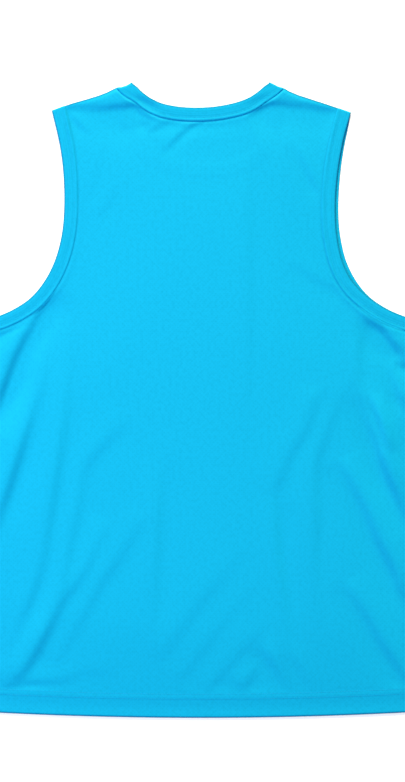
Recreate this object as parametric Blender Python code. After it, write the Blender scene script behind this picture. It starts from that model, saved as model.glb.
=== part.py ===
"""Training tank top, laid flat with its back up: front and back panels, a neckband and two armhole bands.

Sizes are in millimetres until the meshes are made. X runs across the garment, +Y towards the neck and +Z up
from the surface that it lies on. The origin is under the middle of the garment.
"""
import math
from typing import NamedTuple

import bmesh
import bpy
import numpy as np
from mathutils import Vector
from mathutils.geometry import delaunay_2d_cdt

MM = 0.001

# Cut of the garment
HEM_MID_Y = -361.0          # hem edge on the centre line
HEM_RISE = 7.7              # the hem curves up this far at the side seams
HEM_HALF_WIDTH = 262.0
UNDERARM_X = 256.0          # half of the width from armpit to armpit
UNDERARM_Y = 89.3
SHOULDER_NECK = (79.5, 359.0)     # inner edge of the neckband on the shoulder fold
LEFT_TIP = (167.8, 327.5)         # free edge of the left armhole band on the shoulder fold
RIGHT_TIP = (170.9, 326.4)
BACK_NECK_Y = 331.2         # lowest point of the back neck's free edge
BACK_NECK_POWER = 2.5
FRONT_NECK_Y = 268.0        # lowest point of the front neck's free edge
FRONT_NECK_POWER = 2.6
FRONT_NECK_SKEW = 8.0       # the front neck lies this far to the right at its lowest point
BAND_WIDTH = 15.6
SEAM_GAP = 0.3

# Walls and layers, heights above the surface
PANEL_WALL = 1.2
HEM_WALL = 2.0
HEM_DEPTH = 20.7
HEM_STEP = 3.0              # the wall thickens over this distance
BAND_WALL = 1.4
BAND_CROWN = 0.3            # the band is this much fuller along its middle
FOLD_MID_Z = 1.65           # middle height of the turned ends of the bands
FOLD_RADIUS = 0.95          # to the middle of the band's wall
PANEL_FOLD_OUT = 1.3        # the panels reach this far past the fold lines
LAYER_GAP = 0.3
TABLE_GAP = 0.45            # under the back panel where no front lies below it
STEP_DOWN = (4.5, 9.0)      # inside the front neck the back sinks from here on, over this distance
STEP_ROWS = (-13.5, -4.5, 7.0, 18.6)    # rows of points beside the front neckband's free edge
OVER_BAND_GAP = 0.35
STEP_UP = (19.6, 3.0)       # outside the front neckband the back rises from here on, over this distance
NECK_CALM = (26.0, 20.0)    # the loft fades out from here on towards the front neck, over this distance
BACK_SAG = 1.3              # the back neckband sinks this far between the shoulders
LOFT = 2.6                  # air between the layers in the middle of the body
LOFT_EDGE = 45.0            # the loft fades out over this distance from the edges
RELIEF_EDGE = 14.0          # the folds fade out over this distance from the edges
FOLD_START = 0.25           # a fold deepens over this share of its length,
FOLD_END = 0.33             # and fades out over this share

# Mesh spacing
EDGE_STEP = 10.0
FRONT_STEP = 26.0
BACK_STEP = 19.0
BAND_STEP = 7.0
LEAST_SPACING = 6.0
END_TURN = 26.0             # a band's sections turn onto its fold line over this distance
BEND_SECTIONS = 6

CLOTH_COLOUR = (0.010, 0.500, 0.860, 1.0)
BAND_COLOUR = (0.008, 0.470, 0.830, 1.0)


class Key(NamedTuple):
    """A point that an edge passes through."""
    x: float
    y: float


class Fold(NamedTuple):
    """A soft trough from start to end, pulled towards bend, with a ridge on its side to the neck."""
    start: tuple
    bend: tuple
    end: tuple
    width: float
    depth: float
    ridge: float


# Free edges of the armholes, from the shoulder tip to the underarm, with x out from the centre line.
# The front's right armhole shows a little past the back's.
LEFT_ARMHOLE = (
    Key(*LEFT_TIP),
    Key(162.4, 305.0),
    Key(158.0, 283.0),
    Key(155.2, 260.0),
    Key(153.9, 231.0),
    Key(154.9, 203.0),
    Key(158.4, 179.5),
    Key(165.3, 156.5),
    Key(176.4, 134.8),
    Key(192.0, 116.0),
    Key(212.5, 102.3),
    Key(234.0, 93.6),
    Key(UNDERARM_X, UNDERARM_Y),
)
RIGHT_BACK_ARMHOLE = (
    Key(*RIGHT_TIP),
    Key(164.1, 305.0),
    Key(158.9, 283.0),
    Key(155.1, 260.0),
    Key(152.5, 231.0),
    Key(152.3, 203.0),
    Key(155.0, 179.5),
    Key(160.9, 156.5),
    Key(171.8, 134.8),
    Key(190.3, 116.0),
    Key(211.6, 102.3),
    Key(234.0, 93.6),
    Key(UNDERARM_X, UNDERARM_Y),
)
RIGHT_FRONT_ARMHOLE = (
    Key(*RIGHT_TIP),
    Key(166.1, 305.0),
    Key(161.7, 283.0),
    Key(158.5, 260.0),
    Key(156.2, 231.0),
    Key(156.3, 203.0),
    Key(159.4, 179.5),
    Key(165.3, 156.5),
    Key(175.7, 134.8),
    Key(191.1, 116.0),
    Key(211.8, 102.3),
    Key(234.0, 93.6),
    Key(UNDERARM_X, UNDERARM_Y),
)

FOLDS = (
    # from the left underarm down the left side
    Fold((-184, 97), (-205, 68), (-222, 14), 9.0, 2.6, 1.2),
    Fold((-170, 66), (-184, -6), (-219, -112), 8.0, 2.2, 1.0),
    Fold((-147, 48), (-152, -70), (-205, -258), 8.5, 2.0, 0.9),
    Fold((-92, -36), (-136, -82), (-151, -200), 8.0, 1.7, 0.8),
    Fold((-114, -152), (-150, -236), (-210, -318), 9.5, 3.0, 1.8),
    Fold((-68, -142), (-110, -214), (-158, -288), 7.5, 1.6, 0.7),
    Fold((-198, -322), (-150, -320), (-108, -305), 6.5, 0.9, 0.3),
    # from the right underarm down the right side
    Fold((193, 89), (217, 76), (232, 48), 9.0, 2.6, 1.2),
    Fold((133, 0), (119, -52), (91, -92), 8.5, 1.8, 0.9),
    Fold((157, -12), (127, -92), (136, -212), 8.0, 1.7, 0.8),
    Fold((86, -128), (94, -188), (99, -264), 7.5, 1.3, 0.6),
    Fold((182, 60), (176, -20), (223, -108), 8.5, 2.4, 1.1),
    Fold((165, -80), (204, -150), (229, -214), 8.0, 2.0, 0.9),
    Fold((170, -216), (200, -270), (232, -316), 8.0, 1.8, 0.8),
    Fold((214, 30), (226, 8), (234, -20), 7.0, 1.0, 0.4),
    # across the lower middle
    Fold((44, -174), (4, -226), (-42, -286), 8.0, 1.3, 0.6),
    Fold((72, -204), (26, -258), (-18, -312), 8.0, 1.3, 0.6),
    Fold((63, -272), (42, -296), (16, -324), 6.5, 1.1, 0.5),
    Fold((74, -290), (88, -306), (102, -328), 6.5, 1.1, 0.5),
    # under the shoulders and the back neck
    Fold((-146, 332), (-106, 332), (-68, 330), 8.0, 1.6, 0.5),
    Fold((72, 334), (104, 340), (142, 328), 8.0, 1.5, 0.5),
    Fold((-9, 311), (-30, 300), (-46, 281), 5.5, 1.4, 0.7),
)


def smooth(value):
    """0 below 0, 1 above 1, and an even ramp between them."""
    value = np.clip(value, 0.0, 1.0)
    return value * value * (3.0 - 2.0 * value)


# Edges


def through(keys, steps=24):
    """A smooth curve through the keys, as a Catmull-Rom spline."""
    points = np.array(keys, dtype=float)
    first = 2.0 * points[0] - points[1]
    last = 2.0 * points[-1] - points[-2]
    points = np.vstack((first, points, last))
    curve = []
    for a, b, c, d in zip(points, points[1:], points[2:], points[3:]):
        for t in np.arange(steps) / steps:
            curve.append(0.5 * (2 * b + (c - a) * t + (2 * a - 5 * b + 4 * c - d) * t ** 2
                                + (3 * b - a - 3 * c + d) * t ** 3))
    curve.append(points[-2])
    return np.array(curve)


def evenly(curve, step):
    """The curve read again at even steps along its length."""
    lengths = np.concatenate(([0.0], np.cumsum(np.linalg.norm(np.diff(curve, axis=0), axis=1))))
    count = max(1, round(lengths[-1] / step)) + 1
    wanted = np.linspace(0.0, lengths[-1], count)
    return np.column_stack([np.interp(wanted, lengths, curve[:, axis]) for axis in range(2)])


def unit(vector):
    vector = np.asarray(vector, dtype=float)
    return vector / np.linalg.norm(vector)


SHOULDER_DIRECTION = unit(np.subtract(LEFT_TIP, SHOULDER_NECK))
SIDE_DIRECTION = unit((HEM_HALF_WIDTH - UNDERARM_X, HEM_MID_Y + HEM_RISE - UNDERARM_Y))


def hem_y(x):
    return HEM_MID_Y + HEM_RISE * (x / HEM_HALF_WIDTH) ** 2


def back_neck():
    """Free edge of the back neck, from the left shoulder to the right."""
    x = np.linspace(-1.0, 1.0, 161)
    rise = SHOULDER_NECK[1] - BACK_NECK_Y
    curve = np.column_stack((x * SHOULDER_NECK[0], BACK_NECK_Y + rise * np.abs(x) ** BACK_NECK_POWER))
    return evenly(curve, BAND_STEP)


def front_neck():
    """Free edge of the front neck, from the left shoulder to the right."""
    angle = np.linspace(0.0, math.pi, 161)
    power = 2.0 / FRONT_NECK_POWER
    across = -np.sign(np.cos(angle)) * np.abs(np.cos(angle)) ** power
    down = np.sin(angle) ** power
    x = across * SHOULDER_NECK[0] + FRONT_NECK_SKEW * down ** 2
    curve = np.column_stack((x, SHOULDER_NECK[1] - (SHOULDER_NECK[1] - FRONT_NECK_Y) * down))
    return evenly(curve, BAND_STEP)


def armhole(keys, side):
    """Free edge of an armhole, from the shoulder tip to the underarm; side is 1 or -1, right or left."""
    return evenly(through(keys) * (side, 1.0), BAND_STEP)


def inward(edge, side, first, last):
    """Directions from a free edge into the cloth, turned onto the fold lines at both ends of the edge."""
    along = np.gradient(edge, axis=0)
    along /= np.linalg.norm(along, axis=1)[:, None]
    normal = np.column_stack((along[:, 1], -along[:, 0])) * side
    reach = np.concatenate(([0.0], np.cumsum(np.linalg.norm(np.diff(edge, axis=0), axis=1))))
    at_first = smooth(1.0 - reach / END_TURN)[:, None]
    at_last = smooth(1.0 - (reach[-1] - reach) / END_TURN)[:, None]
    normal = normal * (1.0 - at_first - at_last) + np.array(first) * at_first + np.array(last) * at_last
    return normal / np.linalg.norm(normal, axis=1)[:, None]


def mirrored(direction, side):
    return np.array((direction[0] * side, direction[1]))


def outward(fold):
    """Away from the cloth, square to a fold line on the garment's right."""
    return np.array((-fold[1], fold[0]))


def neck_directions(edge):
    return inward(edge, 1, mirrored(SHOULDER_DIRECTION, -1), SHOULDER_DIRECTION)


def armhole_directions(edge, side):
    return inward(edge, side, mirrored(-SHOULDER_DIRECTION, side), mirrored(SIDE_DIRECTION, side))


# Panels


def to_fold(seam, index, fold, side):
    """The corner where a seam's end meets the fold, as far out as the panel's folded edge."""
    return seam[index] + mirrored(outward(fold), side) * PANEL_FOLD_OUT


def panel_outline(neck, right, left):
    """The panel's edge, clockwise from the left end of the neck seam, beside the bands' own sections."""
    reach = BAND_WIDTH + SEAM_GAP
    neck_seam = neck + neck_directions(neck) * reach
    right_seam = right + armhole_directions(right, 1) * reach
    left_seam = left + armhole_directions(left, -1) * reach
    hem_x = np.linspace(HEM_HALF_WIDTH, -HEM_HALF_WIDTH, 60)
    hem = evenly(np.column_stack((hem_x, hem_y(hem_x))), EDGE_STEP)

    def straight(start, end):
        return evenly(np.array((start, end)), EDGE_STEP)

    def shoulder(arm_seam, neck_end, side):
        neck_corner = to_fold(neck_seam, neck_end, SHOULDER_DIRECTION, side)
        return straight(neck_corner, to_fold(arm_seam, 0, SHOULDER_DIRECTION, side))

    return np.vstack((
        neck_seam,
        shoulder(right_seam, -1, 1),
        right_seam,
        straight(to_fold(right_seam, -1, SIDE_DIRECTION, 1), hem[0])[:-1],
        hem,
        straight(hem[-1], to_fold(left_seam, -1, SIDE_DIRECTION, -1))[1:],
        left_seam[::-1],
        shoulder(left_seam, 0, -1)[::-1],
    ))


def lattice(step):
    """Staggered rows of points over the whole garment."""
    row_step = step * math.sqrt(0.75)
    points = []
    for row, y in enumerate(np.arange(HEM_MID_Y, SHOULDER_NECK[1], row_step)):
        shift = step / 2 if row % 2 else 0.0
        for x in np.arange(-HEM_HALF_WIDTH - shift, HEM_HALF_WIDTH, step):
            points.append((x, y))
    return np.array(points)


def hem_rows(step):
    x = np.arange(-HEM_HALF_WIDTH + step, HEM_HALF_WIDTH - step / 2, step)
    return np.vstack([np.column_stack((x, hem_y(x) + HEM_DEPTH + rise)) for rise in (-HEM_STEP, HEM_STEP)])


def fold_line(fold, count):
    t = np.linspace(0.0, 1.0, count)[:, None]
    start, bend, end = (np.array(point, dtype=float) for point in (fold.start, fold.bend, fold.end))
    return start * (1 - t) ** 2 + bend * 2 * t * (1 - t) + end * t ** 2


def fold_rows():
    """Rows of points along each trough and along both of its sides."""
    rows = []
    for fold in FOLDS:
        line = evenly(fold_line(fold, 30), 1.6 * fold.width)
        along = np.gradient(line, axis=0)
        along /= np.linalg.norm(along, axis=1)[:, None]
        left = np.column_stack((-along[:, 1], along[:, 0])) * fold.width
        rows += [line, line + 1.3 * left, line - 1.3 * left]
    return np.vstack(rows)


def front_neck_rows():
    """Rows of points on both sides of the front neckband, where the back panel steps over it."""
    edge = evenly(front_neck(), EDGE_STEP)
    directions = neck_directions(edge)
    return np.vstack([edge + directions * distance for distance in STEP_ROWS])


def spaced(groups, outline):
    """The outline, then the points of each group that keep their distance from those before them."""
    kept = list(outline)
    for group in groups:
        for point in group:
            if np.min(np.sum((np.array(kept) - point) ** 2, axis=1)) > LEAST_SPACING ** 2:
                kept.append(point)
    return kept


def panel_mesh(name, outline, groups, heights):
    """A closed wall over the outline; heights gives the lower and upper face at each point."""
    points = spaced(groups, outline)
    count = len(outline)
    edges = [(index, (index + 1) % count) for index in range(count)]
    flat, _, faces, *_ = delaunay_2d_cdt(
        [Vector(point) for point in points], edges, [list(range(count))], 1, 1e-4)
    plan = np.array([tuple(point) for point in flat])
    lower, upper = heights(plan[:, 0], plan[:, 1])
    mesh = bmesh.new()
    below = [mesh.verts.new((x * MM, y * MM, z * MM)) for (x, y), z in zip(plan, lower)]
    above = [mesh.verts.new((x * MM, y * MM, z * MM)) for (x, y), z in zip(plan, upper)]
    sides = {}
    for face in faces:
        mesh.faces.new([above[index] for index in face])
        mesh.faces.new([below[index] for index in reversed(face)])
        for a, b in zip(face, face[1:] + face[:1]):
            sides[(a, b)] = sides.get((a, b), 0) + 1
    for a, b in sides:
        if (b, a) not in sides:
            mesh.faces.new((above[b], above[a], below[a], below[b]))
    return finished(name, mesh)


def finished(name, mesh):
    """A smooth-shaded object from the closed mesh, with its faces turned out."""
    for vert in [vert for vert in mesh.verts if not vert.link_faces]:
        mesh.verts.remove(vert)
    bmesh.ops.recalc_face_normals(mesh, faces=mesh.faces)
    data = bpy.data.meshes.new(name)
    mesh.to_mesh(data)
    mesh.free()
    data.shade_smooth()
    data.set_sharp_from_angle(angle=math.radians(40))
    obj = bpy.data.objects.new(name, data)
    bpy.context.scene.collection.objects.link(obj)
    return obj


# Heights


def wall(x, y):
    """Thickness of a panel: its cloth, and the turned-up hem along the bottom."""
    above_hem = y - hem_y(x)
    return PANEL_WALL + (HEM_WALL - PANEL_WALL) * smooth(0.5 - (above_hem - HEM_DEPTH) / (2 * HEM_STEP))


def front_heights(x, y):
    return np.zeros_like(x), wall(x, y)


def inside_front_neck(x, y):
    """Distance in from the free edge of the front neckband, positive inside the neck hole."""
    edge = evenly(front_neck(), 2.0)
    directions = neck_directions(edge)
    offset = np.stack((x, y), axis=-1)[:, None, :] - edge[None, :, :]
    nearest = np.argmin(np.sum(offset ** 2, axis=2), axis=1)
    rows = np.arange(len(nearest))
    side = np.sum(offset[rows, nearest] * directions[nearest], axis=1)
    return -np.sign(side) * np.linalg.norm(offset[rows, nearest], axis=1)


def edge_distance(x, y, outline):
    fine = evenly(np.vstack((outline, outline[:1])), 5.0)
    return np.min(np.hypot(x[:, None] - fine[None, :, 0], y[:, None] - fine[None, :, 1]), axis=1)


def fold_relief(x, y):
    """Sum of the troughs and of the ridges beside them."""
    relief = np.zeros_like(x)
    for fold in FOLDS:
        line = evenly(fold_line(fold, 30), 4.0)
        along = np.gradient(line, axis=0)
        along /= np.linalg.norm(along, axis=1)[:, None]
        offset = np.stack((x, y), axis=-1)[:, None, :] - line[None, :, :]
        nearest = np.argmin(np.sum(offset ** 2, axis=2), axis=1)
        rows = np.arange(len(nearest))
        offset = offset[rows, nearest]
        across = along[nearest, 0] * offset[:, 1] - along[nearest, 1] * offset[:, 0]
        to_neck = 1.0 if fold.end[0] > fold.start[0] else -1.0
        away = np.linalg.norm(offset, axis=1) * np.where(across < 0, -to_neck, to_neck)
        t = nearest / (len(line) - 1)
        fade = smooth(t / FOLD_START) * smooth((1.0 - t) / FOLD_END)
        relief -= fade * fold.depth * np.exp(-(away / fold.width) ** 2)
        relief += fade * fold.ridge * np.exp(-((away - 1.7 * fold.width) / fold.width) ** 2)
    return relief


def back_heights(x, y, outline):
    """The back lies over the front, steps over its neckband, and sinks to the surface inside its neck hole."""
    over_front = np.maximum(front_heights(x, y)[1] + LAYER_GAP, PANEL_WALL + LAYER_GAP)
    into_neck = inside_front_neck(x, y)
    over_band = smooth((into_neck + STEP_UP[0]) / STEP_UP[1])
    base = over_front + (BAND_WALL + OVER_BAND_GAP - over_front) * over_band
    base += (TABLE_GAP - base) * smooth((into_neck - STEP_DOWN[0]) / STEP_DOWN[1])
    from_edge = edge_distance(x, y, outline)
    off_neckband = 1.0 - smooth((into_neck + NECK_CALM[0]) / NECK_CALM[1])
    lift = LOFT * smooth(from_edge / LOFT_EDGE) * off_neckband
    lift += fold_relief(x, y) * smooth(from_edge / RELIEF_EDGE)
    lower = base + np.maximum(lift, 0.0)
    return lower, lower + wall(x, y)


# Bands


def section(edge_point, into, normal, height, crown):
    """Rows of a band's outer and inner face at one place along it, from its free edge to its seam."""
    points = []
    for across, face in ((0.0, 1), (0.5, 1), (1.0, 1), (1.0, -1), (0.5, -1), (0.0, -1)):
        thick = BAND_WALL / 2 + (crown if across == 0.5 and face == 1 else 0.0)
        x, y = np.array(edge_point[:2]) + np.array(into) * BAND_WIDTH * across
        points.append(np.array((x, y, height)) + np.array(normal) * thick * face)
    return points


def turn(edge_point, into, away, downward):
    """Sections of a band turning round a fold line, from the upper layer to the lower one or back."""
    sections = []
    for index in range(1, BEND_SECTIONS):
        angle = math.pi * index / BEND_SECTIONS
        rise = math.cos(angle) if downward else -math.cos(angle)
        reach = math.sin(angle)
        normal = (away[0] * reach, away[1] * reach, rise)
        place = np.array(edge_point) + np.array(away) * reach * FOLD_RADIUS
        sections.append(section(place, into, normal, FOLD_MID_Z + rise * FOLD_RADIUS, 0.0))
    return sections


def strip(edge, directions, height_of, face):
    """Sections of a band lying flat; face is 1 on the upper layer and -1 on the lower one."""
    reach = np.concatenate(([0.0], np.cumsum(np.linalg.norm(np.diff(edge, axis=0), axis=1))))
    ends = smooth(reach / END_TURN) * smooth((reach[-1] - reach) / END_TURN)
    sections = []
    for place, into, full in zip(edge, directions, ends):
        crown = BAND_CROWN * full if face > 0 else 0.0
        sections.append(section(place, into, (0.0, 0.0, face), height_of(*place), crown))
    return sections


def band_mesh(name, sections):
    """A closed ring through the sections."""
    mesh = bmesh.new()
    rings = [[mesh.verts.new(tuple(point * MM)) for point in points] for points in sections]
    for ring, following in zip(rings, rings[1:] + rings[:1]):
        for a in range(len(ring)):
            b = (a + 1) % len(ring)
            mesh.faces.new((ring[a], ring[b], following[b], following[a]))
    return finished(name, mesh)


def upper_height(x, y):
    return FOLD_MID_Z + FOLD_RADIUS


def lower_height(x, y):
    return FOLD_MID_Z - FOLD_RADIUS


def back_neck_height(x, y):
    """The back neckband sinks to the surface between the shoulders, where nothing lies under it."""
    return upper_height(x, y) - BACK_SAG * smooth(1.3 * (1.0 - abs(x) / SHOULDER_NECK[0]))


def neckband():
    back = back_neck()
    front = front_neck()
    into = SHOULDER_DIRECTION
    sections = strip(back, neck_directions(back), back_neck_height, 1)
    sections += turn(back[-1], into, outward(into), True)
    sections += strip(front, neck_directions(front), lower_height, -1)[::-1]
    sections += turn(back[0], mirrored(into, -1), mirrored(outward(into), -1), False)
    return band_mesh("neckband", sections)


def armhole_band(name, back_keys, front_keys, side):
    back = armhole(back_keys, side)
    front = armhole(front_keys, side)
    shoulder_out = mirrored(outward(SHOULDER_DIRECTION), side)
    side_out = mirrored(outward(SIDE_DIRECTION), side)
    sections = strip(back, armhole_directions(back, side), upper_height, 1)
    sections += turn(back[-1], mirrored(SIDE_DIRECTION, side), side_out, True)
    sections += strip(front, armhole_directions(front, side), lower_height, -1)[::-1]
    sections += turn(back[0], mirrored(-SHOULDER_DIRECTION, side), shoulder_out, False)
    return band_mesh(name, sections)


def front_panel():
    outline = panel_outline(front_neck(), armhole(RIGHT_FRONT_ARMHOLE, 1), armhole(LEFT_ARMHOLE, -1))
    return panel_mesh("front_panel", outline, (hem_rows(FRONT_STEP), lattice(FRONT_STEP)), front_heights)


def back_panel():
    outline = panel_outline(back_neck(), armhole(RIGHT_BACK_ARMHOLE, 1), armhole(LEFT_ARMHOLE, -1))
    groups = (hem_rows(BACK_STEP), front_neck_rows(), fold_rows(), lattice(BACK_STEP))
    return panel_mesh("back_panel", outline, groups, lambda x, y: back_heights(x, y, outline))


def material(name, colour, roughness):
    made = bpy.data.materials.new(name)
    made.use_nodes = True
    shader = made.node_tree.nodes["Principled BSDF"]
    shader.inputs["Base Color"].default_value = colour
    shader.inputs["Roughness"].default_value = roughness
    shader.inputs["Metallic"].default_value = 0.0
    return made


def main():
    for obj in list(bpy.data.objects):
        bpy.data.objects.remove(obj)
    cloth = material("mesh_knit", CLOTH_COLOUR, 0.75)
    trim = material("band_knit", BAND_COLOUR, 0.7)
    for panel in (front_panel(), back_panel()):
        panel.data.materials.append(cloth)
    right = armhole_band("right_armhole_band", RIGHT_BACK_ARMHOLE, RIGHT_FRONT_ARMHOLE, 1)
    left = armhole_band("left_armhole_band", LEFT_ARMHOLE, LEFT_ARMHOLE, -1)
    for band in (neckband(), right, left):
        band.data.materials.append(trim)


main()
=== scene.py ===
# %% [markdown]
# # A training tank top, laid flat with its back up
#
# The garment has two mesh-knit panels, a neckband and two armhole bands. It lies on a pale surface,
# front down, and is seen from straight above. The frame's solids say where each piece lies. This script
# gives every piece its cloth: a thin wall with soft creases, rolled seams and sewn rows, in a knit with
# tiny holes. All sizes are in millimetres until a mesh is made. X runs across the garment, +Y towards
# the neck, and +Z up from the surface.

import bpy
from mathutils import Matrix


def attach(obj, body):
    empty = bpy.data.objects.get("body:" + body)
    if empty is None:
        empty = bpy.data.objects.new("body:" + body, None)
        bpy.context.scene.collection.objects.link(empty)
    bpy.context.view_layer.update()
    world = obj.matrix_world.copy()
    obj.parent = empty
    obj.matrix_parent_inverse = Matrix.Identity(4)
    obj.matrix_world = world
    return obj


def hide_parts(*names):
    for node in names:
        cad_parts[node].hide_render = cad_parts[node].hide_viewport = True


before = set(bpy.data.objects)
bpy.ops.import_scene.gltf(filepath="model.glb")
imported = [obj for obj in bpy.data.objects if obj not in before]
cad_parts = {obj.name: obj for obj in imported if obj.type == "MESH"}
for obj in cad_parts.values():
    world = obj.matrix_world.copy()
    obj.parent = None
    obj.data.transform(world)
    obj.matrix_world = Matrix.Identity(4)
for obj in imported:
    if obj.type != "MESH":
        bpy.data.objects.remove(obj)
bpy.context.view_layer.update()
print("frame nodes:", ", ".join(sorted(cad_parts)))

# %% [markdown]
# ## Helpers for curves
#
# A seam or a hem is one smooth curve through a few key points. A Catmull-Rom spline does that, because
# it passes through its keys and needs no handles. A curve is then read again at even steps, so that rows
# of points, stitches and band sections are evenly spaced along it.

# %% Curves
import math
from typing import NamedTuple

import bmesh
import bpy
import numpy as np
from mathutils import Vector
from mathutils.geometry import delaunay_2d_cdt
from mathutils.kdtree import KDTree

MM = 0.001


def ramp(value):
    """0 below 0, 1 above 1, and a soft ramp between them."""
    value = np.clip(value, 0.0, 1.0)
    return value * value * (3.0 - 2.0 * value)


def grows(distance, start, over):
    """0 up to the start, and a ramp to 1 from there."""
    return ramp((distance - start) / over)


def ends(distance, end, over):
    """A ramp from 1 to 0, which it reaches at the end."""
    return ramp((end - distance) / over)


def bump(distance, width):
    """1 at no distance, falling softly to nothing at about twice the width."""
    return np.exp(-(distance / width) ** 2)


def through(keys, steps=24):
    """A smooth curve through the keys; each key may hold more columns than x and y."""
    points = np.array(keys, dtype=float)
    first = 2.0 * points[0] - points[1]
    last = 2.0 * points[-1] - points[-2]
    points = np.vstack((first, points, last))
    curve = []
    for a, b, c, d in zip(points, points[1:], points[2:], points[3:]):
        for t in np.arange(steps) / steps:
            curve.append(0.5 * (2 * b + (c - a) * t + (2 * a - 5 * b + 4 * c - d) * t ** 2
                                + (3 * b - a - 3 * c + d) * t ** 3))
    curve.append(points[-2])
    return np.array(curve)


def reach_along(curve):
    """Length from the curve's start to each of its points."""
    return np.concatenate(([0.0], np.cumsum(np.linalg.norm(np.diff(curve[:, :2], axis=0), axis=1))))


def evenly(curve, step):
    """The curve read again at even steps along its length."""
    reach = reach_along(curve)
    wanted = np.linspace(0.0, reach[-1], max(1, round(reach[-1] / step)) + 1)
    return np.column_stack([np.interp(wanted, reach, column) for column in curve.T])


def unit(vector):
    """The same direction, with a length of 1."""
    vector = np.asarray(vector, dtype=float)
    return vector / np.linalg.norm(vector)


def directions(curve):
    """Which way the curve runs at each of its points."""
    along = np.gradient(curve[:, :2], axis=0)
    return along / np.linalg.norm(along, axis=1)[:, None]


print("the ramp reads", [round(float(ramp(share)), 2) for share in (0.0, 0.25, 0.5, 1.0)])

# %% [markdown]
# ## The cut
#
# The hem is a shallow curve. Each neck is a power curve, flat in the middle and steep at the shoulders.
# The armholes are free curves, so they have keys. The edges are those of the solids, but the hem and the
# right armhole were set again by up to a millimetre and a half, after the first renders. The right
# armhole of the front shows a little past the back's, as one layer seldom lies exactly on the other.

# %% Edges of the garment
HEM_MID_Y = -360.5
HEM_RISE = 7.7
HEM_HALF_WIDTH = 262.0
UNDERARM = (256.0, 89.3)
SHOULDER_NECK = (79.5, 359.0)
LEFT_TIP = (167.8, 327.5)
RIGHT_TIP = (170.9, 326.4)
BACK_NECK = {"low": 331.2, "power": 2.5, "lean": 0.0}
FRONT_NECK = {"low": 268.0, "power": 2.6, "lean": 8.0}
BAND_WIDTH = 15.6
SEAM_GAP = 0.3
FOLD_TURN = 26.0            # a band turns square to its fold line over this distance
NECK_POINTS = 241


class Key(NamedTuple):
    """A point that an armhole passes through, out from the centre line and up."""
    x: float
    y: float


LEFT_ARMHOLE = (
    Key(*LEFT_TIP), Key(162.4, 305.0), Key(158.0, 283.0), Key(155.2, 260.0), Key(153.9, 231.0),
    Key(154.9, 203.0), Key(158.4, 179.5), Key(165.3, 156.5), Key(176.4, 134.8), Key(192.0, 116.0),
    Key(212.5, 102.3), Key(234.0, 93.6), Key(*UNDERARM),
)
RIGHT_BACK_ARMHOLE = (
    Key(*RIGHT_TIP), Key(165.0, 305.0), Key(160.3, 283.0), Key(156.5, 260.0), Key(153.9, 231.0),
    Key(153.8, 203.0), Key(156.3, 179.5), Key(161.8, 156.5), Key(172.5, 135.2), Key(191.0, 116.7),
    Key(212.0, 103.0), Key(234.2, 94.0), Key(*UNDERARM),
)
RIGHT_FRONT_ARMHOLE = (
    Key(*RIGHT_TIP), Key(167.0, 305.0), Key(162.8, 283.0), Key(159.6, 260.0), Key(157.3, 231.0),
    Key(157.4, 203.0), Key(160.3, 179.5), Key(166.2, 156.8), Key(176.8, 135.6), Key(192.0, 117.2),
    Key(212.6, 103.3), Key(234.4, 94.2), Key(*UNDERARM),
)
SHOULDER_LINE = unit(np.subtract(LEFT_TIP, SHOULDER_NECK))
SIDE_LINE = unit((HEM_HALF_WIDTH - UNDERARM[0], HEM_MID_Y + HEM_RISE - UNDERARM[1]))


def hem_y(x):
    """Height of the hem's edge in the picture plane, at a distance across."""
    return HEM_MID_Y + HEM_RISE * (x / HEM_HALF_WIDTH) ** 2


def neck_edge(neck, step):
    """Free edge of a neck, from the left shoulder to the right."""
    if neck is BACK_NECK:
        across = np.linspace(-1.0, 1.0, NECK_POINTS)
        down = 1.0 - np.abs(across) ** neck["power"]
    else:
        angle = np.linspace(0.0, math.pi, NECK_POINTS)
        across = -np.sign(np.cos(angle)) * np.abs(np.cos(angle)) ** (2.0 / neck["power"])
        down = np.sin(angle) ** (2.0 / neck["power"])
    x = across * SHOULDER_NECK[0] + neck["lean"] * down ** 2
    return evenly(np.column_stack((x, SHOULDER_NECK[1] - (SHOULDER_NECK[1] - neck["low"]) * down)), step)


def armhole_edge(keys, side, step):
    """Free edge of an armhole, from the shoulder tip to the underarm; side is 1 or -1, right or left."""
    return evenly(through(keys) * (side, 1.0), step)


def mirrored(direction, side):
    """A direction on the garment's right, carried over to the given side."""
    return np.array((direction[0] * side, direction[1]))


def outward(line):
    """Away from the cloth, square to a fold line on the garment's right."""
    return np.array((-line[1], line[0]))


def inward(edge, side, first, last):
    """Directions from a free edge into the cloth, turned onto the fold lines at both ends."""
    along = directions(edge)
    normal = np.column_stack((along[:, 1], -along[:, 0])) * side
    reach = reach_along(edge)
    at_first = ends(reach, FOLD_TURN, FOLD_TURN)[:, None]
    at_last = ends(reach[-1] - reach, FOLD_TURN, FOLD_TURN)[:, None]
    normal = normal * (1.0 - at_first - at_last) + np.array(first) * at_first + np.array(last) * at_last
    return normal / np.linalg.norm(normal, axis=1)[:, None]


def neck_inward(edge):
    """Directions from a neck's free edge into the cloth."""
    return inward(edge, 1, mirrored(SHOULDER_LINE, -1), SHOULDER_LINE)


def armhole_inward(edge, side):
    """Directions from an armhole's free edge into the cloth."""
    return inward(edge, side, mirrored(-SHOULDER_LINE, side), mirrored(SIDE_LINE, side))


print("neck to hem:", round(SHOULDER_NECK[1] - hem_y(SHOULDER_NECK[0]), 1), "mm")

# %% [markdown]
# ## How far is a point from a seam?
#
# Most of the form depends on distance: a rolled seam, a rounded fold and a crease all have a profile
# across them. A k-d tree finds the nearest place on a curve fast enough for tens of thousands of points,
# and the curve's own direction there says on which side the point lies.

# %% Distance from a curve


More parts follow.
